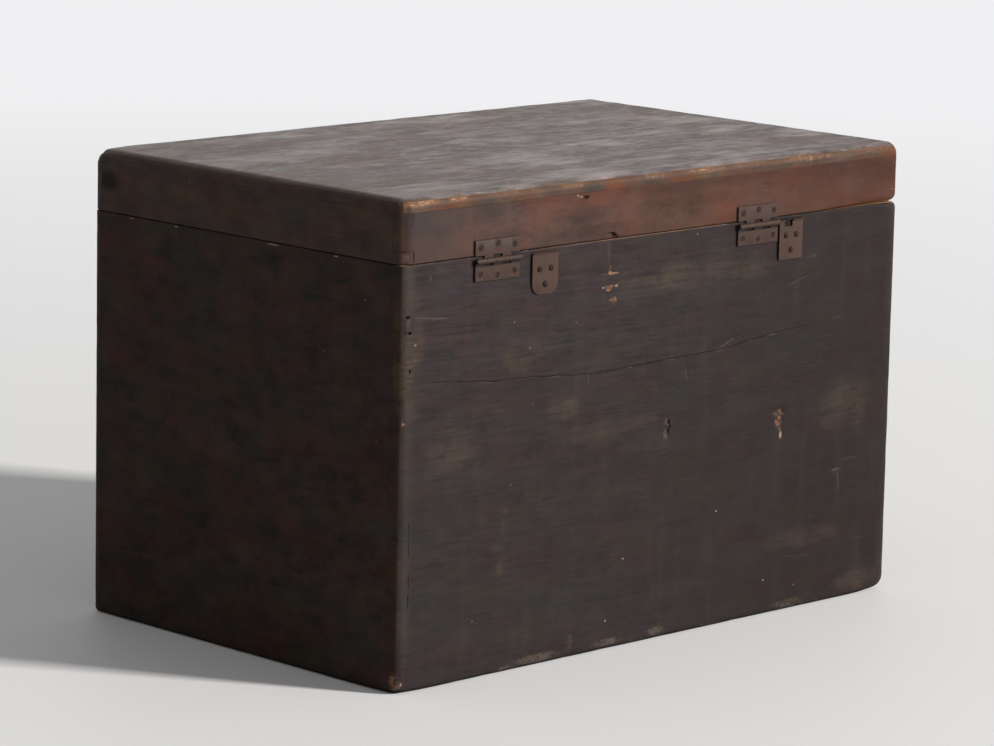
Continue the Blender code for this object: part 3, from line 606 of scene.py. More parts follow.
def bare_pine(name, axis):
    """Planed pine left bare inside: honey brown and dry, with dark late-wood lines about 7 mm apart."""
    material, tree, shader = new_material(name)
    place = node(tree, "TexCoord", out="Object")
    rings = node(tree, "Mapping", {"Vector": place, "Scale": grain_scale(axis, 900, 42)})
    sway = node(tree, "TexNoise", {"Vector": rings, "Scale": 1, "Detail": 2})
    turns = node(tree, "Math", {0: sway, 1: 40}, operation="MULTIPLY")
    wave = node(tree, "Math", {0: turns}, operation="SINE")
    late = node(tree, "MapRange", {"Value": wave, "From Min": 0.35, "From Max": 1, "To Max": 0.6})
    fine = node(tree, "Mapping", {"Vector": place, "Scale": grain_scale(axis, 60, 1.6)})
    fibres = node(tree, "TexNoise", {"Vector": fine, "Scale": 1, "Detail": 4})
    color = node(
        tree, "Mix", {"Factor": late, "A": linear("#a27b52"), "B": linear("#80593a")}, data_type="RGBA")
    dry = node(tree, "MapRange", {"Value": fibres, "From Min": 0.45, "From Max": 0.7, "To Max": 0.45})
    color = node(tree, "Mix", {"Factor": dry, "A": color, "B": linear("#6e4c2e")}, data_type="RGBA")
    # Grime in patches of about 140 mm
    grime = node(tree, "TexNoise", {"Vector": place, "Scale": 1000 / 140, "Detail": 6, "Roughness": 0.6})
    grimy = node(tree, "MapRange", {"Value": grime, "From Min": 0.46, "From Max": 0.74, "To Max": 0.7})
    color = node(tree, "Mix", {"Factor": grimy, "A": color, "B": linear("#4d3826")}, data_type="RGBA")
    tree.links.new(color, shader.inputs["Base Color"])
    shader.inputs["Roughness"].default_value = 0.72
    relief = node(tree, "Math", {0: late, 1: 0.6, 2: fibres}, operation="MULTIPLY_ADD")
    bump = node(tree, "Bump", {"Height": relief, "Strength": 0.6, "Distance": 0.0003})
    tree.links.new(bump, shader.inputs["Normal"])
    return material


def painted_iron(name, paint, rust, shine):
    """Rolled sheet iron, brushed over in brown with the chest: satin, with freckles of rust."""
    material, tree, shader = new_material(name)
    place = node(tree, "TexCoord", out="Object")
    # Freckles of rust of about 3 mm, in a coat that clouds over about 18 mm
    freckle = node(tree, "TexNoise", {"Vector": place, "Scale": 1000 / 3, "Detail": 5, "Roughness": 0.65})
    cloud = node(tree, "TexNoise", {"Vector": place, "Scale": 1000 / 18, "Detail": 3})
    both = node(tree, "Math", {0: freckle, 1: cloud}, operation="ADD")
    rusty = node(tree, "MapRange", {"Value": both, "From Min": 0.98, "From Max": 1.2, "To Max": 0.9})
    coat = node(tree, "MapRange", {"Value": cloud, "From Min": 0.3, "From Max": 0.7})
    color = node(
        tree, "Mix", {"Factor": coat, "A": linear(paint[0]), "B": linear(paint[1])}, data_type="RGBA")
    color = node(tree, "Mix", {"Factor": rusty, "A": color, "B": linear(rust)}, data_type="RGBA")
    # Painted shade along the leaves' near side edges and under the barrel, where the leaf's attribute marks
    # it
    painted_shade = node(tree, "Attribute", attribute_name="painted_shade", out="Fac")
    color = node(tree, "Mix", {"Factor": painted_shade, "A": color, "B": linear(IRON_SHADE)}, data_type="RGBA")
    tree.links.new(color, shader.inputs["Base Color"])
    shader.inputs["Specular IOR Level"].default_value = shine
    gloss = node(tree, "MapRange", {
        "Value": both, "From Min": 0.8, "From Max": 1.2, "To Min": 0.4, "To Max": 0.68})
    tree.links.new(gloss, shader.inputs["Roughness"])
    bump = node(tree, "Bump", {"Height": freckle, "Strength": 0.5, "Distance": 0.0003})
    tree.links.new(bump, shader.inputs["Normal"])
    return material


WOOD = ("#5b3b2a", "#80604c")
ARRIS_WOOD = ("#70492f", "#a88263")
OCHRE = Tint("#362d21", 92, 30, 0.50, 0.6)
RED = Tint("#3a2928", 80, 26, 0.48, 0.55)
COOL = Tint("#252728", 120, 40, 0.47, 0.5)
LONG_LOOK = PaintLook(
    name="brown_black_paint_on_long_boards", axis=0, streak=(90, 5), fibre=(30, 2), brushed=0.6,
    dark="#1c1516", mid="#33292a", tints=(COOL, RED, OCHRE),
    scrape="#473e39", rub="#4c433c", often=(0.10, 0.40),
    wood=WOOD, arris=0.026, bare_arris=0.0012, shine=0.12, drift=0.45)
FRONT_PAINT = worn_paint(LONG_LOOK._replace(name="brown_black_paint_on_front"))
LONG_PAINT = worn_paint(LONG_LOOK._replace(
    fades=(Fade("#1a1413", "Z", 0.52, 0.22, 0.45), Fade("#1a1110", "X", 0.15, -0.35, 0.64))))
FAR_END_PAINT = worn_paint(LONG_LOOK._replace(name="brown_black_paint_on_far_end", axis=1))
END_PAINT = worn_paint(PaintLook(
    name="brown_black_paint_on_near_end", axis=1, streak=(80, 7), fibre=(30, 2), brushed=0.35,
    dark="#130d0d", mid="#2f2321",
    tints=(Tint("#1a1d1b", 120, 60, 0.46, 0.65), Tint("#3a2320", 80, 40, 0.47, 0.75),
           Tint("#2f2719", 92, 46, 0.49, 0.6)),
    scrape="#3a2e26", rub="#33281f", often=(0.2, 0.5),
    wood=WOOD, arris=0.012, bare_arris=0.0008, shine=0.08, drift=0.4))
# Worn grey-brown paint on the lid's top, with its greys made lighter than the paint so that they also carry
# painted sheen: the bright surround that the top reflects at a low view
TOP_PAINT_AND_SHEEN = worn_paint(PaintLook(
    name="grey_brown_paint_and_painted_sheen_on_lid_top", axis=0, streak=(110, 13), fibre=(40, 3), brushed=0.62,
    dark="#39302e", mid="#8c8382",
    tints=(Tint("#604b43", 210, 110, 0.44, 0.75), Tint("#aca4a2", 170, 70, 0.49, 0.85),
           Tint("#271f1e", 60, 9, 0.54, 0.85), Tint("#bcb4b2", 34, 7, 0.56, 0.9)),
    scrape="#a79f9c", rub="#4a3a30", often=(0.15, 0.5),
    wood=ARRIS_WOOD, arris=0.012, bare_arris=0.0010, shine=0.22, drift=0.5,
    fades=(Fade("#52443d", "X", 0.10, 0.455, 0.42), Fade("#2c221d", "X", 0.438, 0.449, 0.9),
           Fade("#2c221d", "X", -0.438, -0.449, 0.7))))
EDGE_PAINT = worn_paint(PaintLook(
    name="brown_paint_on_lid_edge", axis=0, streak=(95, 8), fibre=(30, 2), brushed=0.4,
    dark="#3a2a23", mid="#4c382e",
    tints=(Tint("#5f3b2a", 100, 50, 0.44, 0.9), Tint("#2b2a24", 80, 40, 0.47, 0.9)),
    scrape="#55463a", rub="#6b4c37", often=(0.2, 0.6),
    wood=ARRIS_WOOD, arris=0.012, bare_arris=0.0015, shine=0.15, drift=0.3))
BACK_RAIL_PAINT = worn_paint(PaintLook(
    name="red_brown_paint_on_lid_back", axis=0, streak=(130, 12), fibre=(30, 2), brushed=0.4,
    dark="#342520", mid="#4c3832",
    tints=(Tint("#61392b", 140, 70, 0.43, 0.8), Tint("#302724", 110, 40, 0.46, 0.8),
           Tint("#59413a", 92, 40, 0.48, 0.7)),
    scrape="#58443d", rub="#58423a", often=(0.2, 0.6),
    wood=WOOD, arris=0.006, bare_arris=0.0002, shine=0.12, drift=0.1,
    fades=(Fade("#45210f", "X", 0.30, -0.30, 0.55), Fade("#352d2b", "X", 0.24, 0.42, 0.69))))
FRONT_RAIL_PAINT = worn_paint(PaintLook(
    name="dark_paint_on_lid_front", axis=0, streak=(95, 8), fibre=(30, 2), brushed=0.4,
    dark="#261e1b", mid="#382c28", tints=(OCHRE, RED),
    scrape="#4b4037", rub="#4d3b2d", often=(0.2, 0.6),
    wood=WOOD, arris=0.010, bare_arris=0.0015, shine=0.12, drift=0.4))
END_RAIL_PAINT = worn_paint(PaintLook(
    name="dark_paint_on_lid_ends", axis=1, streak=(95, 8), fibre=(30, 2), brushed=0.4,
    dark="#201716", mid="#382a25", tints=(COOL, Tint("#402c23", 80, 40, 0.46, 0.75)),
    scrape="#4a3c32", rub="#46352a", often=(0.2, 0.6),
    wood=WOOD, arris=0.010, bare_arris=0.0002, shine=0.12, drift=0.4))
PINE_LONG = bare_pine("bare_pine_along", 0)
PINE_CROSS = bare_pine("bare_pine_across", 1)
HINGE_IRON = painted_iron("brown_painted_hinge_iron", ("#35241c", "#3f2c24"), "#3c281e", 0.2)
OLD_IRON = painted_iron("brown_painted_old_iron", ("#3a281f", "#453128"), "#422b20", 0.2)
DARK_STEEL = painted_iron("brown_painted_screw_steel", ("#2a1f19", "#34271f"), "#31221a", 0.1)
# The pins are nearly black: painted shade for the dark ends of the barrels
PIN_STEEL_AND_SHADE = painted_iron("pin_steel_blackened_as_painted_shade", ("#15100d", "#1d1612"), "#21150f", 0.1)


def mesh_of(name, bm, sharp=SHARP):
    """A smooth mesh of a bmesh, with its hard edges kept."""
    mesh = bpy.data.meshes.new(name)
    bm.to_mesh(mesh)
    bm.free()
    if "custom_normal" in mesh.attributes:
        mesh.attributes.remove(mesh.attributes["custom_normal"])
    mesh.shade_smooth()
    mesh.set_sharp_from_angle(angle=sharp)
    return mesh


def add_piece(made, name, bm, body, slot, *materials, sharp=SHARP):
    """Put the piece that stands for a CAD node on its body, with its materials. The slot is not used."""
    mesh = mesh_of(name, bm, sharp)
    for material in materials:
        mesh.materials.append(material)
    obj = bpy.data.objects.new(f"{made}_{name}", mesh)
    bpy.context.scene.collection.objects.link(obj)
    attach(obj, body)
    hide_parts(name)


def copied(name):
    """A merged copy of a CAD node's mesh, with its flat faces whole again."""
    bm = bmesh.new()
    bm.from_mesh(frame["nodes"][name].data)
    bmesh.ops.remove_doubles(bm, verts=bm.verts, dist=MERGE)
    bmesh.ops.dissolve_limit(bm, angle_limit=FLAT, verts=bm.verts, edges=bm.edges)
    for face in bm.faces:
        face.material_index = 0
    return bm


def plate(low, high):
    """A flat plate between two corners."""
    low, high = Vector(low), Vector(high)
    bm = bmesh.new()
    place = Matrix.Translation((low + high) / 2) @ Matrix.Diagonal((*(high - low), 1))
    bmesh.ops.create_cube(bm, size=1, matrix=place)
    return bm


def everything(bm):
    """All the geometry of a bmesh, as a cut takes it."""
    return bm.verts[:] + bm.edges[:] + bm.faces[:]


def grid_cuts(low, high, step):
    """Places for even cuts between two ends, with the finer ones near each end."""
    count = round((high - low) / step)
    even = [low + (high - low) * i / count for i in range(1, count)]
    reach = ARRIS_CUTS[-1] + step / 2
    even = [c for c in even if low + reach < c < high - reach]
    return [low + c for c in ARRIS_CUTS] + even + [high - c for c in ARRIS_CUTS]


def cut_across(bm, axis, places):
    """Cut the whole mesh square to an axis at each place."""
    square = Vector([1 if i == axis else 0 for i in range(3)])
    for place in places:
        bmesh.ops.bisect_plane(bm, geom=everything(bm), dist=MERGE, plane_co=square * place, plane_no=square)


def part_of_side(bm, side, low, high):
    """The geometry of the faces of one side that reach into a window of it."""
    facing, sign, along = side
    found = set()
    for face in bm.faces:
        if face.normal[facing] * sign < FACING:
            continue
        spots = [(v.co[along], v.co.z) for v in face.verts]
        if max(s[0] for s in spots) < low[0] or min(s[0] for s in spots) > high[0]:
            continue
        if max(s[1] for s in spots) < low[1] or min(s[1] for s in spots) > high[1]:
            continue
        found.update([face], face.edges, face.verts)
    return list(found)


def cut_window(bm, side, low, high, cuts):
    """Cut the faces of a side that reach into a window, at each (place, normal)."""
    geom = part_of_side(bm, side, low, high)
    for place, square in cuts:
        cut_geom = bmesh.ops.bisect_plane(bm, geom=geom, dist=MERGE, plane_co=place, plane_no=square)
        geom = cut_geom["geom"]


def refine(bm, side, mark):
    """Cut a side finely round a mark."""
    low = (mark.along - MARK_WINDOW * mark.wide, mark.up - MARK_WINDOW * mark.high)
    high = (mark.along + MARK_WINDOW * mark.wide, mark.up + MARK_WINDOW * mark.high)
    cuts = []
    for axis, middle, half in ((side[2], mark.along, mark.wide), (2, mark.up, mark.high)):
        square = Vector([1 if i == axis else 0 for i in range(3)])
        cuts += [(square * (middle + share * half), square) for share in MARK_CUTS]
    cut_window(bm, side, low, high, cuts)


def score(bm, side, scratch):
    """Cut a side along both edges of a scratch."""
    along = side[2]
    start, end = scratch.start, scratch.end
    low = [min(a, b) - scratch.width for a, b in zip(start, end)]
    high = [max(a, b) + scratch.width for a, b in zip(start, end)]
    run = Vector((end[0] - start[0], end[1] - start[1])).normalized()
    square = Vector((0, 0, run[0]))
    square[along] = -run[1]
    middle = Vector((0, 0, start[1]))
    middle[along] = start[0]
    cuts = [(middle + square * (share * scratch.width / 2), square) for share in SCRATCH_CUTS]
    cut_window(bm, side, low, high, cuts)


def ripple(place, size):
    """Smooth noise from -1 to 1 that changes over about that size in metres."""
    return noise.noise(Vector(place) / size)


def smooth_step(value):
    """A value held between 0 and 1, leaving both ends gently."""
    value = min(1, max(0, value))
    return value * value * (3 - 2 * value)


def rounded(a, b, radius):
    """Depths behind two outer faces, brought onto an arc of that radius where they lie outside it."""
    across, down = radius - a, radius - b
    reach = math.hypot(max(0, across), max(0, down))
    if across <= 0 or down <= 0 or reach <= radius:
        return a, b
    return radius - across * radius / reach, radius - down * radius / reach


def way_out(across, back, radius):
    """How deep a point lies inside the plan with its corners rounded, and the nearest way out of it."""
    if across < radius and back < radius:
        out = Vector((radius - across, radius - back))
        return max(0, radius - out.length), out.normalized()
    return (across, Vector((1, 0))) if across < back else (back, Vector((0, 1)))


def along_split(x):
    """Height of the split at x, and how open it is there, from 0 to 1."""
    for (x0, z0), (x1, z1) in zip(SPLIT, SPLIT[1:]):
        if x1 <= x <= x0:
            share = (x0 - x) / (x0 - x1)
            break
    else:
        return (SPLIT[0][1], 0) if x > SPLIT[0][0] else (SPLIT[-1][1], 0)
    wander = SPLIT_WANDER * ripple((x, 0, 0.3), SPLIT_WANDER_LENGTH)
    height = z0 + (z1 - z0) * smooth_step(share) + wander
    ends = min((SPLIT[0][0] - x) / SPLIT_NEAR_TAPER, (x - SPLIT[-1][0]) / SPLIT_FAR_TAPER)
    change = SPLIT_OPEN_CHANGE * ripple((x, 0.7, 0), SPLIT_OPEN_LENGTH)
    return height, smooth_step(ends) * (SPLIT_OPEN + change)


def open_split(place):
    """Bring a place on the back board to the split, and give its depth, rubbing and stain there."""
    off = place.z - SPLIT_LEVEL
    height, opened = along_split(place.x)
    from_end = (SPLIT_END - abs(place.x)) / SPLIT_END_TAPER
    bend = smooth_step(1 - abs(off) / SPLIT_REACH) * smooth_step(from_end)
    place.z += (height - SPLIT_LEVEL) * bend
    on_skin = HALF_DEPTH - place.y < SPLIT_SKIN
    depth = rub = stain = 0
    if abs(off) < SPLIT_HALF_WIDTH + MERGE:
        place.z -= off * (1 - opened)
        if on_skin:
            stain = smooth_step(opened * SPLIT_GROOVE) * (1 - abs(off) / SPLIT_HALF_WIDTH)
            depth = SPLIT_DEPTH * stain
    if on_skin and -SPLIT_LIP < off < -SPLIT_HALF_WIDTH / 2:
        change = SPLIT_LIP_CHANGE * ripple((place.x, 0.2, 0), SPLIT_LIP_LENGTH)
        rub = opened * (SPLIT_LIP_RUB + change)
    return depth, rub, stain


def mark_share(mark, along, up):
    """How strongly a mark shows at a place, from 0 to 1."""
    across = (along - mark.along) / mark.wide
    rise = (up - mark.up) / mark.high
    return smooth_step(MARK_FADE * (MARK_END - math.hypot(across, rise)))


def scratch_share(scratch, along, up):
    """How strongly a scratch shows at a place, from 0 to 1."""
    start, end = Vector(scratch.start), Vector(scratch.end)
    run = end - start
    from_start = Vector((along, up)) - start
    share = from_start.dot(run) / run.length_squared
    off = (from_start - run * share).length
    if not 0 <= share <= 1 or off > SCRATCH_HALF * scratch.width:
        return 0
    return smooth_step(min(share, 1 - share) * SCRATCH_TAPER)


def marks_at(name, place):
    """Depth and (bare, rub, stain and painted shade, warm) that the marks of a board give a place on its
    marked side.
    """
    total = [0, 0, 0, 0, 0]
    for (facing, sign, along), marks, scratches in MARKS.get(name, ()):
        outer = (HALF_LENGTH, HALF_DEPTH)[facing]
        if outer - sign * place[facing] > WEAR_DEPTH:
            continue
        shares = [(m, mark_share(m, place[along], place.z)) for m in marks]
        shares += [(s, scratch_share(s, place[along], place.z)) for s in scratches]
        for mark, share in shares:
            if share > 0:
                shown = (mark.depth, mark.bare, mark.rub, mark.stain, mark.warm)
                total = [max(t, s * share) for t, s in zip(total, shown)]
    return total


def worn_place(place, form, depth):
    """Where a point of the outer form lies once its arrises are worn round and its faces have sunk."""
    across = HALF_LENGTH - abs(place.x)
    back = HALF_DEPTH - abs(place.y)
    foot, head = place.z - form.base, form.top - place.z
    ding = max(0, ripple(place, DING)) + SMALL_DING_PART * max(0, ripple(place, SMALL_DING))
    from_far = math.hypot(place.x + HALF_LENGTH, place.y - HALF_DEPTH)
    from_near = math.hypot(place.x - HALF_LENGTH, place.y - HALF_DEPTH)
    from_front = math.hypot(place.x - HALF_LENGTH, place.y + HALF_DEPTH)
    foot_radius, head_radius, end_radius = (
        radius * (1 + DING_MORE * ding)
        + loss.far * smooth_step(1 - from_far / loss.reach)
        + loss.near * smooth_step(1 - from_near / loss.reach)
        + loss.front * smooth_step(1 - from_front / loss.reach)
        for radius, loss in (
            (form.foot, form.foot_loss), (form.head, form.head_loss), (form.end_head, form.head_loss))
    )
    upright = form.upright + form.corner * smooth_step(1 - from_near / CORNER_REACH)
    upright *= 1 + DING_MORE_UPRIGHT * ding
    inset, out = way_out(across, back, upright)
    inside, head = rounded(inset, head, end_radius * out.x ** 2 + head_radius * out.y ** 2)
    inside, foot = rounded(inside, foot, foot_radius)
    z = form.base + foot if foot < head else form.top - head
    move = WAVE * (1 + ripple(place, LONG_WAVE)) / 2
    move += SHORT_WAVE_PART * WAVE * max(0, ripple(place, SHORT_WAVE))
    inside += (move + depth) * smooth_step(1 - inside / WEAR_DEPTH)
    if form is LID_FORM:
        z -= move * smooth_step(1 - head / WEAR_DEPTH)
    if across < upright and back < upright:
        across, back = (upright - share * (upright - inside) for share in out)
    else:
        across, back = across + out.x * (inside - inset), back + out.y * (inside - inset)
    x = math.copysign(HALF_LENGTH - across, place.x)
    return Vector((x, math.copysign(HALF_DEPTH - back, place.y), z))


def arris_distance(place, form):
    """How far a point of the outer form is from the nearest arris that hands rub, an upright or the top's."""
    level = form.top - place.z if form is LID_FORM else form.top
    return sorted((HALF_LENGTH - abs(place.x), HALF_DEPTH - abs(place.y), level))[1]


def rim_wear(place):
    """How bare and how dark the rim is at a place on it."""
    if any(low < place.x < high for low, high in LEAF_SPANS):
        return 0, RIM_DARK
    low, high = RIM_BETWEEN
    between = smooth_step(min(place.x - low, high - place.x) / RIM_TAPER)
    bare = RIM_BARE if place.x > low else RIM_FAR_BARE
    return bare + RIM_MORE_BETWEEN * between + RIM_CHANGE * ripple(place, RIM_CHANGE_LENGTH), 0


def foot_wear(place):
    """How rubbed the foot is at a place on it, and how dark the painted contact shadow along its lowest edge
    is there.
    """
    patchy = FOOT_PATCHY + FOOT_CHANGE * ripple((place.x, place.y, 0), FOOT_CHANGE_LENGTH)
    height = FOOT_RUB * max(FOOT_LEAST, patchy)
    rub = FOOT_RUBBED * patchy * smooth_step(FOOT_FADE - place.z / height)
    return max(0, rub), FOOT_SHADE * smooth_step(FOOT_FADE - place.z / FOOT_SHADE_EDGE)


def finish_of(face):
    """Index of a face's finish, by the outer side it lies nearest, or bare for the inside and the rims."""
    middle = face.calc_center_median()
    from_end, from_side = HALF_LENGTH - abs(middle.x), HALF_DEPTH - abs(middle.y)
    if min(from_end, from_side) > WALL - INSIDE:
        return BARE if middle.z < LID_TOP - TOP_SKIN else ON_TOP
    on_rim = min(abs(middle.z - BODY_TOP), abs(middle.z - LID_BASE)) < INSIDE / 2
    if on_rim and min(from_end, from_side) > RIM_PAINT:
        return BARE
    if face.normal.z > UPWARD and middle.z > PANEL_BASE:
        return ON_TOP
    if from_end < from_side:
        return ON_END if middle.x > 0 else ON_FAR_END
    return ON_BACK if middle.y > 0 else ON_FRONT


def cut_board(bm, name, form, axes):
    """Cut a board into a grid that is fine at its arrises, its split and its marks."""
    low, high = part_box(name)
    along, across = axes
    cross_cuts = grid_cuts(low[across], high[across], ACROSS_GRAIN)
    if name == "back_board":
        cross_cuts = [c for c in cross_cuts if abs(c - SPLIT_LEVEL) > SPLIT_CLEAR]
        cross_cuts += [SPLIT_LEVEL + c for c in SPLIT_CUTS]
    cut_across(bm, across, cross_cuts)
    through = 3 - along - across
    outer = (HALF_LENGTH, HALF_DEPTH, form.top)[through]
    for sign, face in ((-1, low[through]), (1, high[through])):
        if abs(abs(face) - outer) < ON_OUTSIDE:
            cut_across(bm, through, [face - sign * c for c in THROUGH_CUTS])
    cut_across(bm, along, grid_cuts(low[along], high[along], ALONG_GRAIN))
    bm.normal_update()
    for side, marks, scratches in MARKS.get(name, ()):
        for mark in marks:
            refine(bm, side, mark)
        for scratch in scratches:
            score(bm, side, scratch)
    bm.normal_update()


def add_board(name, body, slot, finishes, form, axes):
    """A worn copy of a board: cut into a fine grid, with its split, marks and worn arrises modelled in."""
    bm = plate(*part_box(name)) if name == "lid_panel" else copied(name)
    cut_board(bm, name, form, axes)
    for face in bm.faces:
        face.material_index = finish_of(face)
    wear_and_shade = bm.verts.layers.float_color.new("wear_and_shade")
    arris = bm.verts.layers.float.new("arris")
    for vert in bm.verts:
        place = vert.co.copy()
        depth, bare, rub, stain, warm = marks_at(name, place)
        vert[arris] = arris_distance(place, form)
        if name == "lid_panel" and place.z < PANEL_BASE + MERGE:
            place.z -= SEAM * smooth_step((FILLED_FROM - place.x) / FILL_TAPER)
        if name == "back_board":
            split_depth, split_rub, split_stain = open_split(place)
            depth, rub, stain = max(depth, split_depth), max(rub, split_rub), max(stain, split_stain)
        if form is BODY_FORM and max(BODY_TOP - place.z, HALF_DEPTH - place.y) < RIM_LINE:
            rim_bare, rim_dark = rim_wear(place)
            bare, stain = max(bare, rim_bare), max(stain, rim_dark)
        # The rubbed foot, and the painted contact shadow along its lowest edge
        if form is BODY_FORM and place.z < 2 * FOOT_RUB:
            foot_rub, foot_shade = foot_wear(place)
            rub, stain = max(rub, foot_rub), max(stain, foot_shade)
        vert[wear_and_shade] = (bare, rub, stain, warm)
        vert.co = worn_place(place, form, depth)
    add_piece("worn", name, bm, body, slot, *finishes)


def build_boards():
    """The four walls of the body, and the lid's rails and panel."""
    long_way, cross_way, flat_way = (0, 2), (1, 2), (0, 1)
    for sides, way, pine in (
        (("front", "back"), long_way, PINE_LONG),
        (("left_end", "right_end"), cross_way, PINE_CROSS),
    ):
        finishes = (LONG_PAINT, pine, END_PAINT, LONG_PAINT, FRONT_PAINT, FAR_END_PAINT)
        for side in sides:
            add_board(side + "_board", "chest", "black_paint", finishes, BODY_FORM, way)
    for sides, way, pine in (
        (("front", "back"), long_way, PINE_LONG),
        (("left", "right"), cross_way, PINE_CROSS),
    ):
        finishes = (BACK_RAIL_PAINT, pine, END_RAIL_PAINT, TOP_PAINT_AND_SHEEN, FRONT_RAIL_PAINT, END_RAIL_PAINT)
        for side in sides:
            add_board(f"lid_{side}_rail", "lid", "red_brown_paint", finishes, LID_FORM, way)
    finishes = (EDGE_PAINT, PINE_LONG, END_RAIL_PAINT, TOP_PAINT_AND_SHEEN, EDGE_PAINT, END_RAIL_PAINT)
    add_board("lid_panel", "lid", "lid_top_paint", finishes, LID_FORM, flat_way)


def build_bottom():
    """The bottom boards, worn with the foot at the corners, with their upper arrises eased."""
    for i in range(1, BOTTOM_BOARDS + 1):
        name = f"bottom_board_{i}"
        bm = copied(name)
        for axis, half in enumerate((HALF_LENGTH, HALF_DEPTH)):
            cut_across(bm, axis, (BOTTOM_CUT - half, half - BOTTOM_CUT))
        for vert in bm.verts:
            vert.co = worn_place(vert.co, BODY_FORM, 0)
        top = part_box(name)[1].z
        eased = [e for e in bm.edges if all(v.co.z > top - MERGE for v in e.verts)]
        eased = [e for e in eased if e.calc_length() > BOTTOM_LONG_EDGE]
        bmesh.ops.bevel(
            bm, geom=eased, offset=BOTTOM_EASE, segments=2, profile=0.5, affect="EDGES", material=-1)
        add_piece("planed", name, bm, "chest", "bare_pine", PINE_CROSS)


def with_borders(faces):
    """Faces with their edges and vertices, as an extrusion takes them."""
    edges = {e for f in faces for e in f.edges}
    verts = {v for f in faces for v in f.verts}
    return list(faces) + list(edges) + list(verts)


def ease_rim(bm, front, root):
    """Round the arris of a plate's outer face, all but the edge that runs into the knuckles."""
    def on_face(vert):
        return vert.co.y > front - MERGE
    rim = [e for e in bm.edges if len(e.link_faces) == 2 and all(on_face(v) for v in e.verts)]
    rim = [e for e in rim if not all(abs(v.co.z - root) < MERGE for v in e.verts)]
    bmesh.ops.bevel(bm, geom=rim, offset=SHEET_EDGE, segments=2, profile=0.5, affect="EDGES", material=-1)


def countersink(bm, x, z):
    """Sink a plate's outer face for a screw's head: a round cell is cut out of it and pushed in."""
    cut_across(bm, 0, (x - SINK_CELL, x + SINK_CELL))
    for level in (z - SINK_CELL, z + SINK_CELL):
        bm.normal_update()
        column = [f for f in bm.faces if f.normal.y > FACING and abs(f.calc_center_median().x - x) < MERGE]
        bmesh.ops.bisect_plane(
            bm, geom=with_borders(column), dist=MERGE, plane_co=(0, 0, level), plane_no=(0, 0, 1))
    bm.normal_update()
    middle = Vector((x, 0, z))
    front = [f for f in bm.faces if f.normal.y > FACING]
    cell = min(front, key=lambda f: ((f.calc_center_median() - middle) * Vector((1, 0, 1))).length)
    for edge in cell.edges[:]:
        bmesh.ops.subdivide_edges(bm, edges=[edge], cuts=SINK_CUTS)
    bmesh.ops.inset_individual(bm, faces=[cell], thickness=SINK_RIM)
    for vert in cell.verts:
        out = Vector((vert.co.x - x, vert.co.z - z)).normalized() * SINK_RADIUS
        vert.co.x, vert.co.z = x + out.x, z + out.y
    bmesh.ops.inset_individual(bm, faces=[cell], thickness=SINK_DEPTH, depth=-SINK_DEPTH)


def roll_knuckles(bm, spans, root, axis, turn):
    """Draw a plate's edge out to its axis between each pair of x, and roll it round."""
    bm.normal_update()
    owned = []
    for face in bm.faces:
        middle = face.calc_center_median()
        at_root = all(abs(v.co.z - root) < MERGE for v in face.verts)
        if at_root and any(low < middle.x < high for low, high in spans):
            owned.append(face)
    drawn = bmesh.ops.extrude_face_region(bm, geom=with_borders(owned))["geom"]
    verts = [g for g in drawn if isinstance(g, bmesh.types.BMVert)]
    bmesh.ops.translate(bm, verts=verts, vec=(0, 0, axis.z - root))
    ends = with_borders([g for g in drawn if isinstance(g, bmesh.types.BMFace)])
    bmesh.ops.spin(
        bm, geom=ends, cent=axis, axis=(1, 0, 0), angle=turn, steps=ROLL_STEPS, use_duplicate=False)
    bmesh.ops.recalc_face_normals(bm, faces=bm.faces)


def mark_painted_shade(bm, edge, front, low, high):
    """Mark the painted shade on a leaf: along the near side of its plate, which faces away from the lamp, and
    on its face between two heights.
    """
    painted_shade = bm.verts.layers.float.new("painted_shade")
    for vert in bm.verts:
        on_side = abs(vert.co.x - edge) < MERGE and vert.co.y < front - SHEET_EDGE / 2
        on_face = vert.co.y < front + MERGE and low - MERGE < vert.co.z < high + MERGE
        vert[painted_shade] = 1 if on_side or on_face else 0


def add_hinge_leaf(hinge, body, owner):
    """One leaf of a butt hinge: a plate with countersunk holes, its knuckles rolled from the same sheet."""
    name = f"{hinge}_hinge_{owner}_leaf"
    low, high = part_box(name)
    on_lid = body == "lid"
    root = HINGE_AXIS.z + (BARREL_CLEARANCE if on_lid else -BARREL_CLEARANCE)
    free = high.z if on_lid else low.z
    back = HALF_DEPTH + LEAF_SEAM
    bm = plate((low.x, back, min(root, free)), (high.x, back + LEAF, max(root, free)))
    ease_rim(bm, back + LEAF, root)
    # The body leaf is cut where its painted shade under the barrel fades out
    if not on_lid:
        cut_across(bm, 2, [root - SHADE_REACH])
    pitch = (high.x - low.x) / KNUCKLES
    gap = KNUCKLE_PLAY / 2
    joints = [low.x + pitch * i for i in range(1, KNUCKLES)]
    cut_across(bm, 0, [x + side for x in joints for side in (-gap, gap)])
    for i in range(1, LEAF_SCREWS + 1):
        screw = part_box(f"{hinge}_hinge_{owner}_screw_{i}")
        countersink(bm, (screw[0].x + screw[1].x) / 2, (screw[0].z + screw[1].z) / 2)
    starts = [low.x + pitch * i for i in range(1 if on_lid else 0, KNUCKLES, 2)]
    spans = [(x + gap, x + pitch - gap) for x in starts]
    axis = Vector(((low.x + high.x) / 2, HINGE_AXIS.y, HINGE_AXIS.z))
    roll_knuckles(bm, spans, root, axis, ROLL if on_lid else -ROLL)
    # Painted shade along the near side edge, and under the barrel on the body leaf
    mark_painted_shade(bm, high.x, back + LEAF, free if on_lid else root, free if on_lid else HINGE_AXIS.z)
    add_piece("rolled", name, bm, body, "hinge_iron", HINGE_IRON)


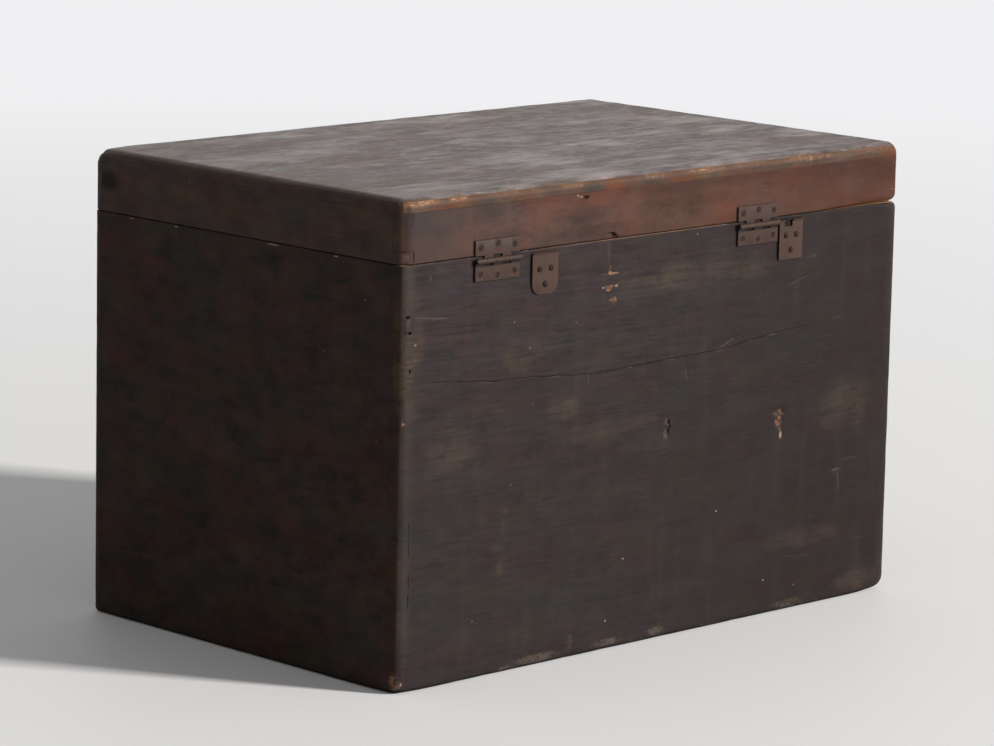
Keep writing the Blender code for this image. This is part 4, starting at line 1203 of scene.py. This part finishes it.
def add_old_leaf(side):
    """The leaf of an earlier hinge, with rounded lower corners and the stubs of its knuckles."""
    name = side + "_old_leaf"
    low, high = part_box(name)
    middle = (low.x + high.x) / 2
    back = HALF_DEPTH + LEAF_SEAM
    axis = Vector((middle, high.y - OLD_RADIUS, BODY_TOP - OLD_DROP))
    root = axis.z - OLD_CLEARANCE
    bm = plate((low.x, back, low.z), (high.x, back + OLD_LEAF, root))
    corners = [e for e in bm.edges if all(v.co.z < low.z + MERGE for v in e.verts)]
    corners = [e for e in corners if abs(e.verts[0].co.y - e.verts[1].co.y) > MERGE]
    bmesh.ops.bevel(
        bm, geom=corners, offset=OLD_CORNERS[side], segments=OLD_CORNER_STEPS, profile=0.5, affect="EDGES",
        material=-1)
    ease_rim(bm, back + OLD_LEAF, root)
    ends = [low.x] + [middle + x for x in OLD_NOTCHES[side]] + [high.x]
    cut_across(bm, 0, ends[1:-1])
    roll_knuckles(bm, list(zip(ends[::2], ends[1::2])), root, axis, -OLD_ROLL)
    # Painted shade along the old leaf's near side edge
    mark_painted_shade(bm, high.x, back + OLD_LEAF, high.z, high.z)
    add_piece("rolled", name, bm, "chest", "old_iron", OLD_IRON)


def turned(profile):
    """A solid turned about Z from its outline as (radius, height), from the top down."""
    bm = bmesh.new()
    verts = [bm.verts.new((radius, 0, height)) for radius, height in profile]
    edges = [bm.edges.new(pair) for pair in zip(verts, verts[1:])]
    bmesh.ops.spin(
        bm, geom=verts + edges, cent=(0, 0, 0), axis=(0, 0, 1), angle=2 * math.pi, steps=TURN_STEPS,
        use_merge=True, use_duplicate=False)
    bmesh.ops.remove_doubles(bm, verts=bm.verts, dist=MERGE / 10)
    bmesh.ops.recalc_face_normals(bm, faces=bm.faces)
    return bm


def cut_slot(bm, top):
    """A screwdriver slot across the top of a turned head."""
    floor = top - SLOT_DEPTH
    cut_across(bm, 1, (-SLOT_HALF, SLOT_HALF))
    cut_across(bm, 2, [floor])
    bm.normal_update()
    strip = []
    for face in bm.faces:
        within = all(abs(v.co.y) < SLOT_HALF + MERGE and v.co.z > floor - MERGE for v in face.verts)
        if within and face.normal.z > SLOT_SLOPE:
            strip.append(face)
    sunk = bmesh.ops.extrude_face_region(bm, geom=with_borders(strip))["geom"]
    for vert in sunk:
        if isinstance(vert, bmesh.types.BMVert):
            vert.co.z = floor
    bmesh.ops.recalc_face_normals(bm, faces=bm.faces)


def add_screw(name, body, round_head, turn):
    """A slotted screw driven into the back, where the frame has it."""
    low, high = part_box(name)
    middle = Vector(((low.x + high.x) / 2, high.y, (low.z + high.z) / 2))
    length = high.y - low.y
    if round_head:
        dome = [(ROUND_HEAD_RADIUS * math.cos(a), ROUND_HEAD * (math.sin(a) - 1)) for a in ROUND_HEAD_TURNS]
        head = [(0, 0), *dome, (SHANK_RADIUS, -ROUND_HEAD)]
    else:
        head = [(0, 0), (HEAD_FLAT_RADIUS, 0), (HEAD_RADIUS, -HEAD_EDGE), (SHANK_RADIUS, -HEAD_DEPTH)]
    bm = turned(head + [(SHANK_RADIUS, SCREW_POINT - length), (0, -length)])
    cut_slot(bm, 0)
    into_back = Matrix.Rotation(turn, 4, "Y") @ Matrix.Rotation(-math.pi / 2, 4, "X")
    bmesh.ops.transform(bm, matrix=Matrix.Translation(middle) @ into_back, verts=bm.verts)
    sharp = SHARP if round_head else FLAT_HEAD_SHARP
    add_piece("turned", name, bm, body, "dark_steel", DARK_STEEL, sharp=sharp)


def add_pin(name):
    """The pin through a hinge's knuckles, with a low head at each end."""
    low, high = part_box(name)
    half = (high.x - low.x) / 2
    end = [(radius, half - depth) for radius, depth in PIN_HEAD]
    bm = turned(end + [(radius, -height) for radius, height in reversed(end)])
    along = Matrix.Translation((low + high) / 2) @ Matrix.Rotation(math.pi / 2, 4, "Y")
    bmesh.ops.transform(bm, matrix=along, verts=bm.verts)
    add_piece("turned", name, bm, "chest", "dark_steel", PIN_STEEL_AND_SHADE)


def add_nail(name, body, head_up, finish):
    """A clout nail, which in the lid is punched down and stopped over."""
    low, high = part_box(name)
    length = high.z - low.z
    length -= STOPPED if head_up else 0
    head = [(radius, -depth) for radius, depth in NAIL_HEAD]
    bm = turned(head + [(NAIL_RADIUS, NAIL_POINT - length), (0, -length)])
    middle = (low + high) / 2
    middle.z = high.z - STOPPED if head_up else low.z
    stand = Matrix.Rotation(0 if head_up else math.pi, 4, "X")
    bmesh.ops.transform(bm, matrix=Matrix.Translation(middle) @ stand, verts=bm.verts)
    add_piece("turned", name, bm, body, "dark_steel", finish)


def build_ironwork():
    """Both hinges, the old leaf beside each, and the nails."""
    for side in ("right", "left"):
        for body, owner in (("chest", "body"), ("lid", "lid")):
            add_hinge_leaf(side, body, owner)
            for i in range(1, LEAF_SCREWS + 1):
                add_screw(f"{side}_hinge_{owner}_screw_{i}", body, False, SLOT_TURN * i)
        add_pin(side + "_hinge_pin")
        add_old_leaf(side)
        for i in range(1, LEAF_SCREWS + 1):
            add_screw(f"{side}_old_leaf_screw_{i}", "chest", True, SLOT_TURN * i)
    for i in range(1, NAILS + 1):
        add_nail(f"bottom_nail_{i}", "chest", False, DARK_STEEL)
        add_nail(f"lid_nail_{i}", "lid", True, TOP_PAINT_AND_SHEEN)


def build_stage():
    """A pale floor, one soft lamp from the right of the picture and an even pale surround."""
    bm = bmesh.new()
    bmesh.ops.create_grid(bm, x_segments=1, y_segments=1, size=FLOOR_SIZE)
    floor = bpy.data.objects.new("floor", mesh_of("floor", bm))
    material, tree, shader = new_material("pale_painted_concrete")
    shader.inputs["Base Color"].default_value = linear("#f6f4f2")
    shader.inputs["Roughness"].default_value = 0.6
    # Far from the chest the floor passes into a pale background
    place = node(tree, "TexCoord", out="Object")
    away = node(tree, "VectorMath", {0: place}, operation="LENGTH", out="Value")
    gone = node(tree, "MapRange", {"Value": away, "From Min": FLOOR_CLEAR, "From Max": FLOOR_GONE})
    seen = node(tree, "LightPath", out="Is Camera Ray")
    fade = node(tree, "Math", {0: gone, 1: seen}, operation="MULTIPLY")
    pale = node(tree, "Emission", {"Color": linear("#f0f0f2"), "Strength": 1})
    ground = node(tree, "MixShader", {0: fade, 1: shader.outputs["BSDF"], 2: pale})
    tree.links.new(ground, tree.nodes["Material Output"].inputs["Surface"])
    floor.data.materials.append(material)
    bpy.context.scene.collection.objects.link(floor)

    lamp = bpy.data.lights.new("key", "AREA")
    lamp.size = LAMP_SIZE
    lamp.energy = LAMP_LEVEL * (math.pi * LAMP_DISTANCE) ** 2
    key = bpy.data.objects.new("key", lamp)
    key.location = LIT_POINT + TO_LAMP.normalized() * LAMP_DISTANCE
    key.rotation_euler = TO_LAMP.to_track_quat("Z", "Y").to_euler()
    bpy.context.scene.collection.objects.link(key)

    world = bpy.data.worlds.new("surround")
    bpy.context.scene.world = world
    world.use_nodes = True
    tree = world.node_tree
    tree.nodes.clear()
    seen = node(tree, "LightPath", out="Is Camera Ray")
    shiny = node(tree, "LightPath", out="Is Glossy Ray")
    through = node(tree, "LightPath", out="Is Transmission Ray")
    pale = node(tree, "Math", {0: seen, 1: shiny}, operation="MAXIMUM")
    pale = node(tree, "Math", {0: pale, 1: through}, operation="MAXIMUM")
    level = node(tree, "MapRange", {"Value": pale, "To Min": FILL_LEVEL, "To Max": SURROUND_LEVEL})
    glow = node(tree, "Background", {"Color": linear("#f6f7f8"), "Strength": level})
    output = tree.nodes.new("ShaderNodeOutputWorld")
    tree.links.new(glow, output.inputs["Surface"])


def add_camera():
    """A camera where the picture was taken, turned and zoomed as its perspective shows."""
    data = bpy.data.cameras.new("camera")
    data.sensor_width = SENSOR_MM
    data.lens = FOCAL_PIXELS * data.sensor_width / PICTURE_WIDTH
    data.clip_end = SEEN_TO
    camera = bpy.data.objects.new("camera", data)
    level = math.cos(CAMERA_PITCH)
    ahead = Vector((level * math.cos(CAMERA_YAW), level * math.sin(CAMERA_YAW), math.sin(CAMERA_PITCH)))
    right = ahead.cross(Vector((0, 0, 1))).normalized()
    turn = Matrix.Rotation(-CAMERA_ROLL, 3, ahead)
    right = turn @ right
    up = right.cross(ahead)
    axes = Matrix((right, up, -ahead)).transposed()
    camera.matrix_world = Matrix.Translation(CAMERA_PLACE) @ axes.to_4x4()
    bpy.context.scene.collection.objects.link(camera)
    bpy.context.scene.camera = camera


build_boards()
build_bottom()
build_ironwork()
build_stage()
add_camera()
bpy.context.scene.view_settings.view_transform = "Standard"
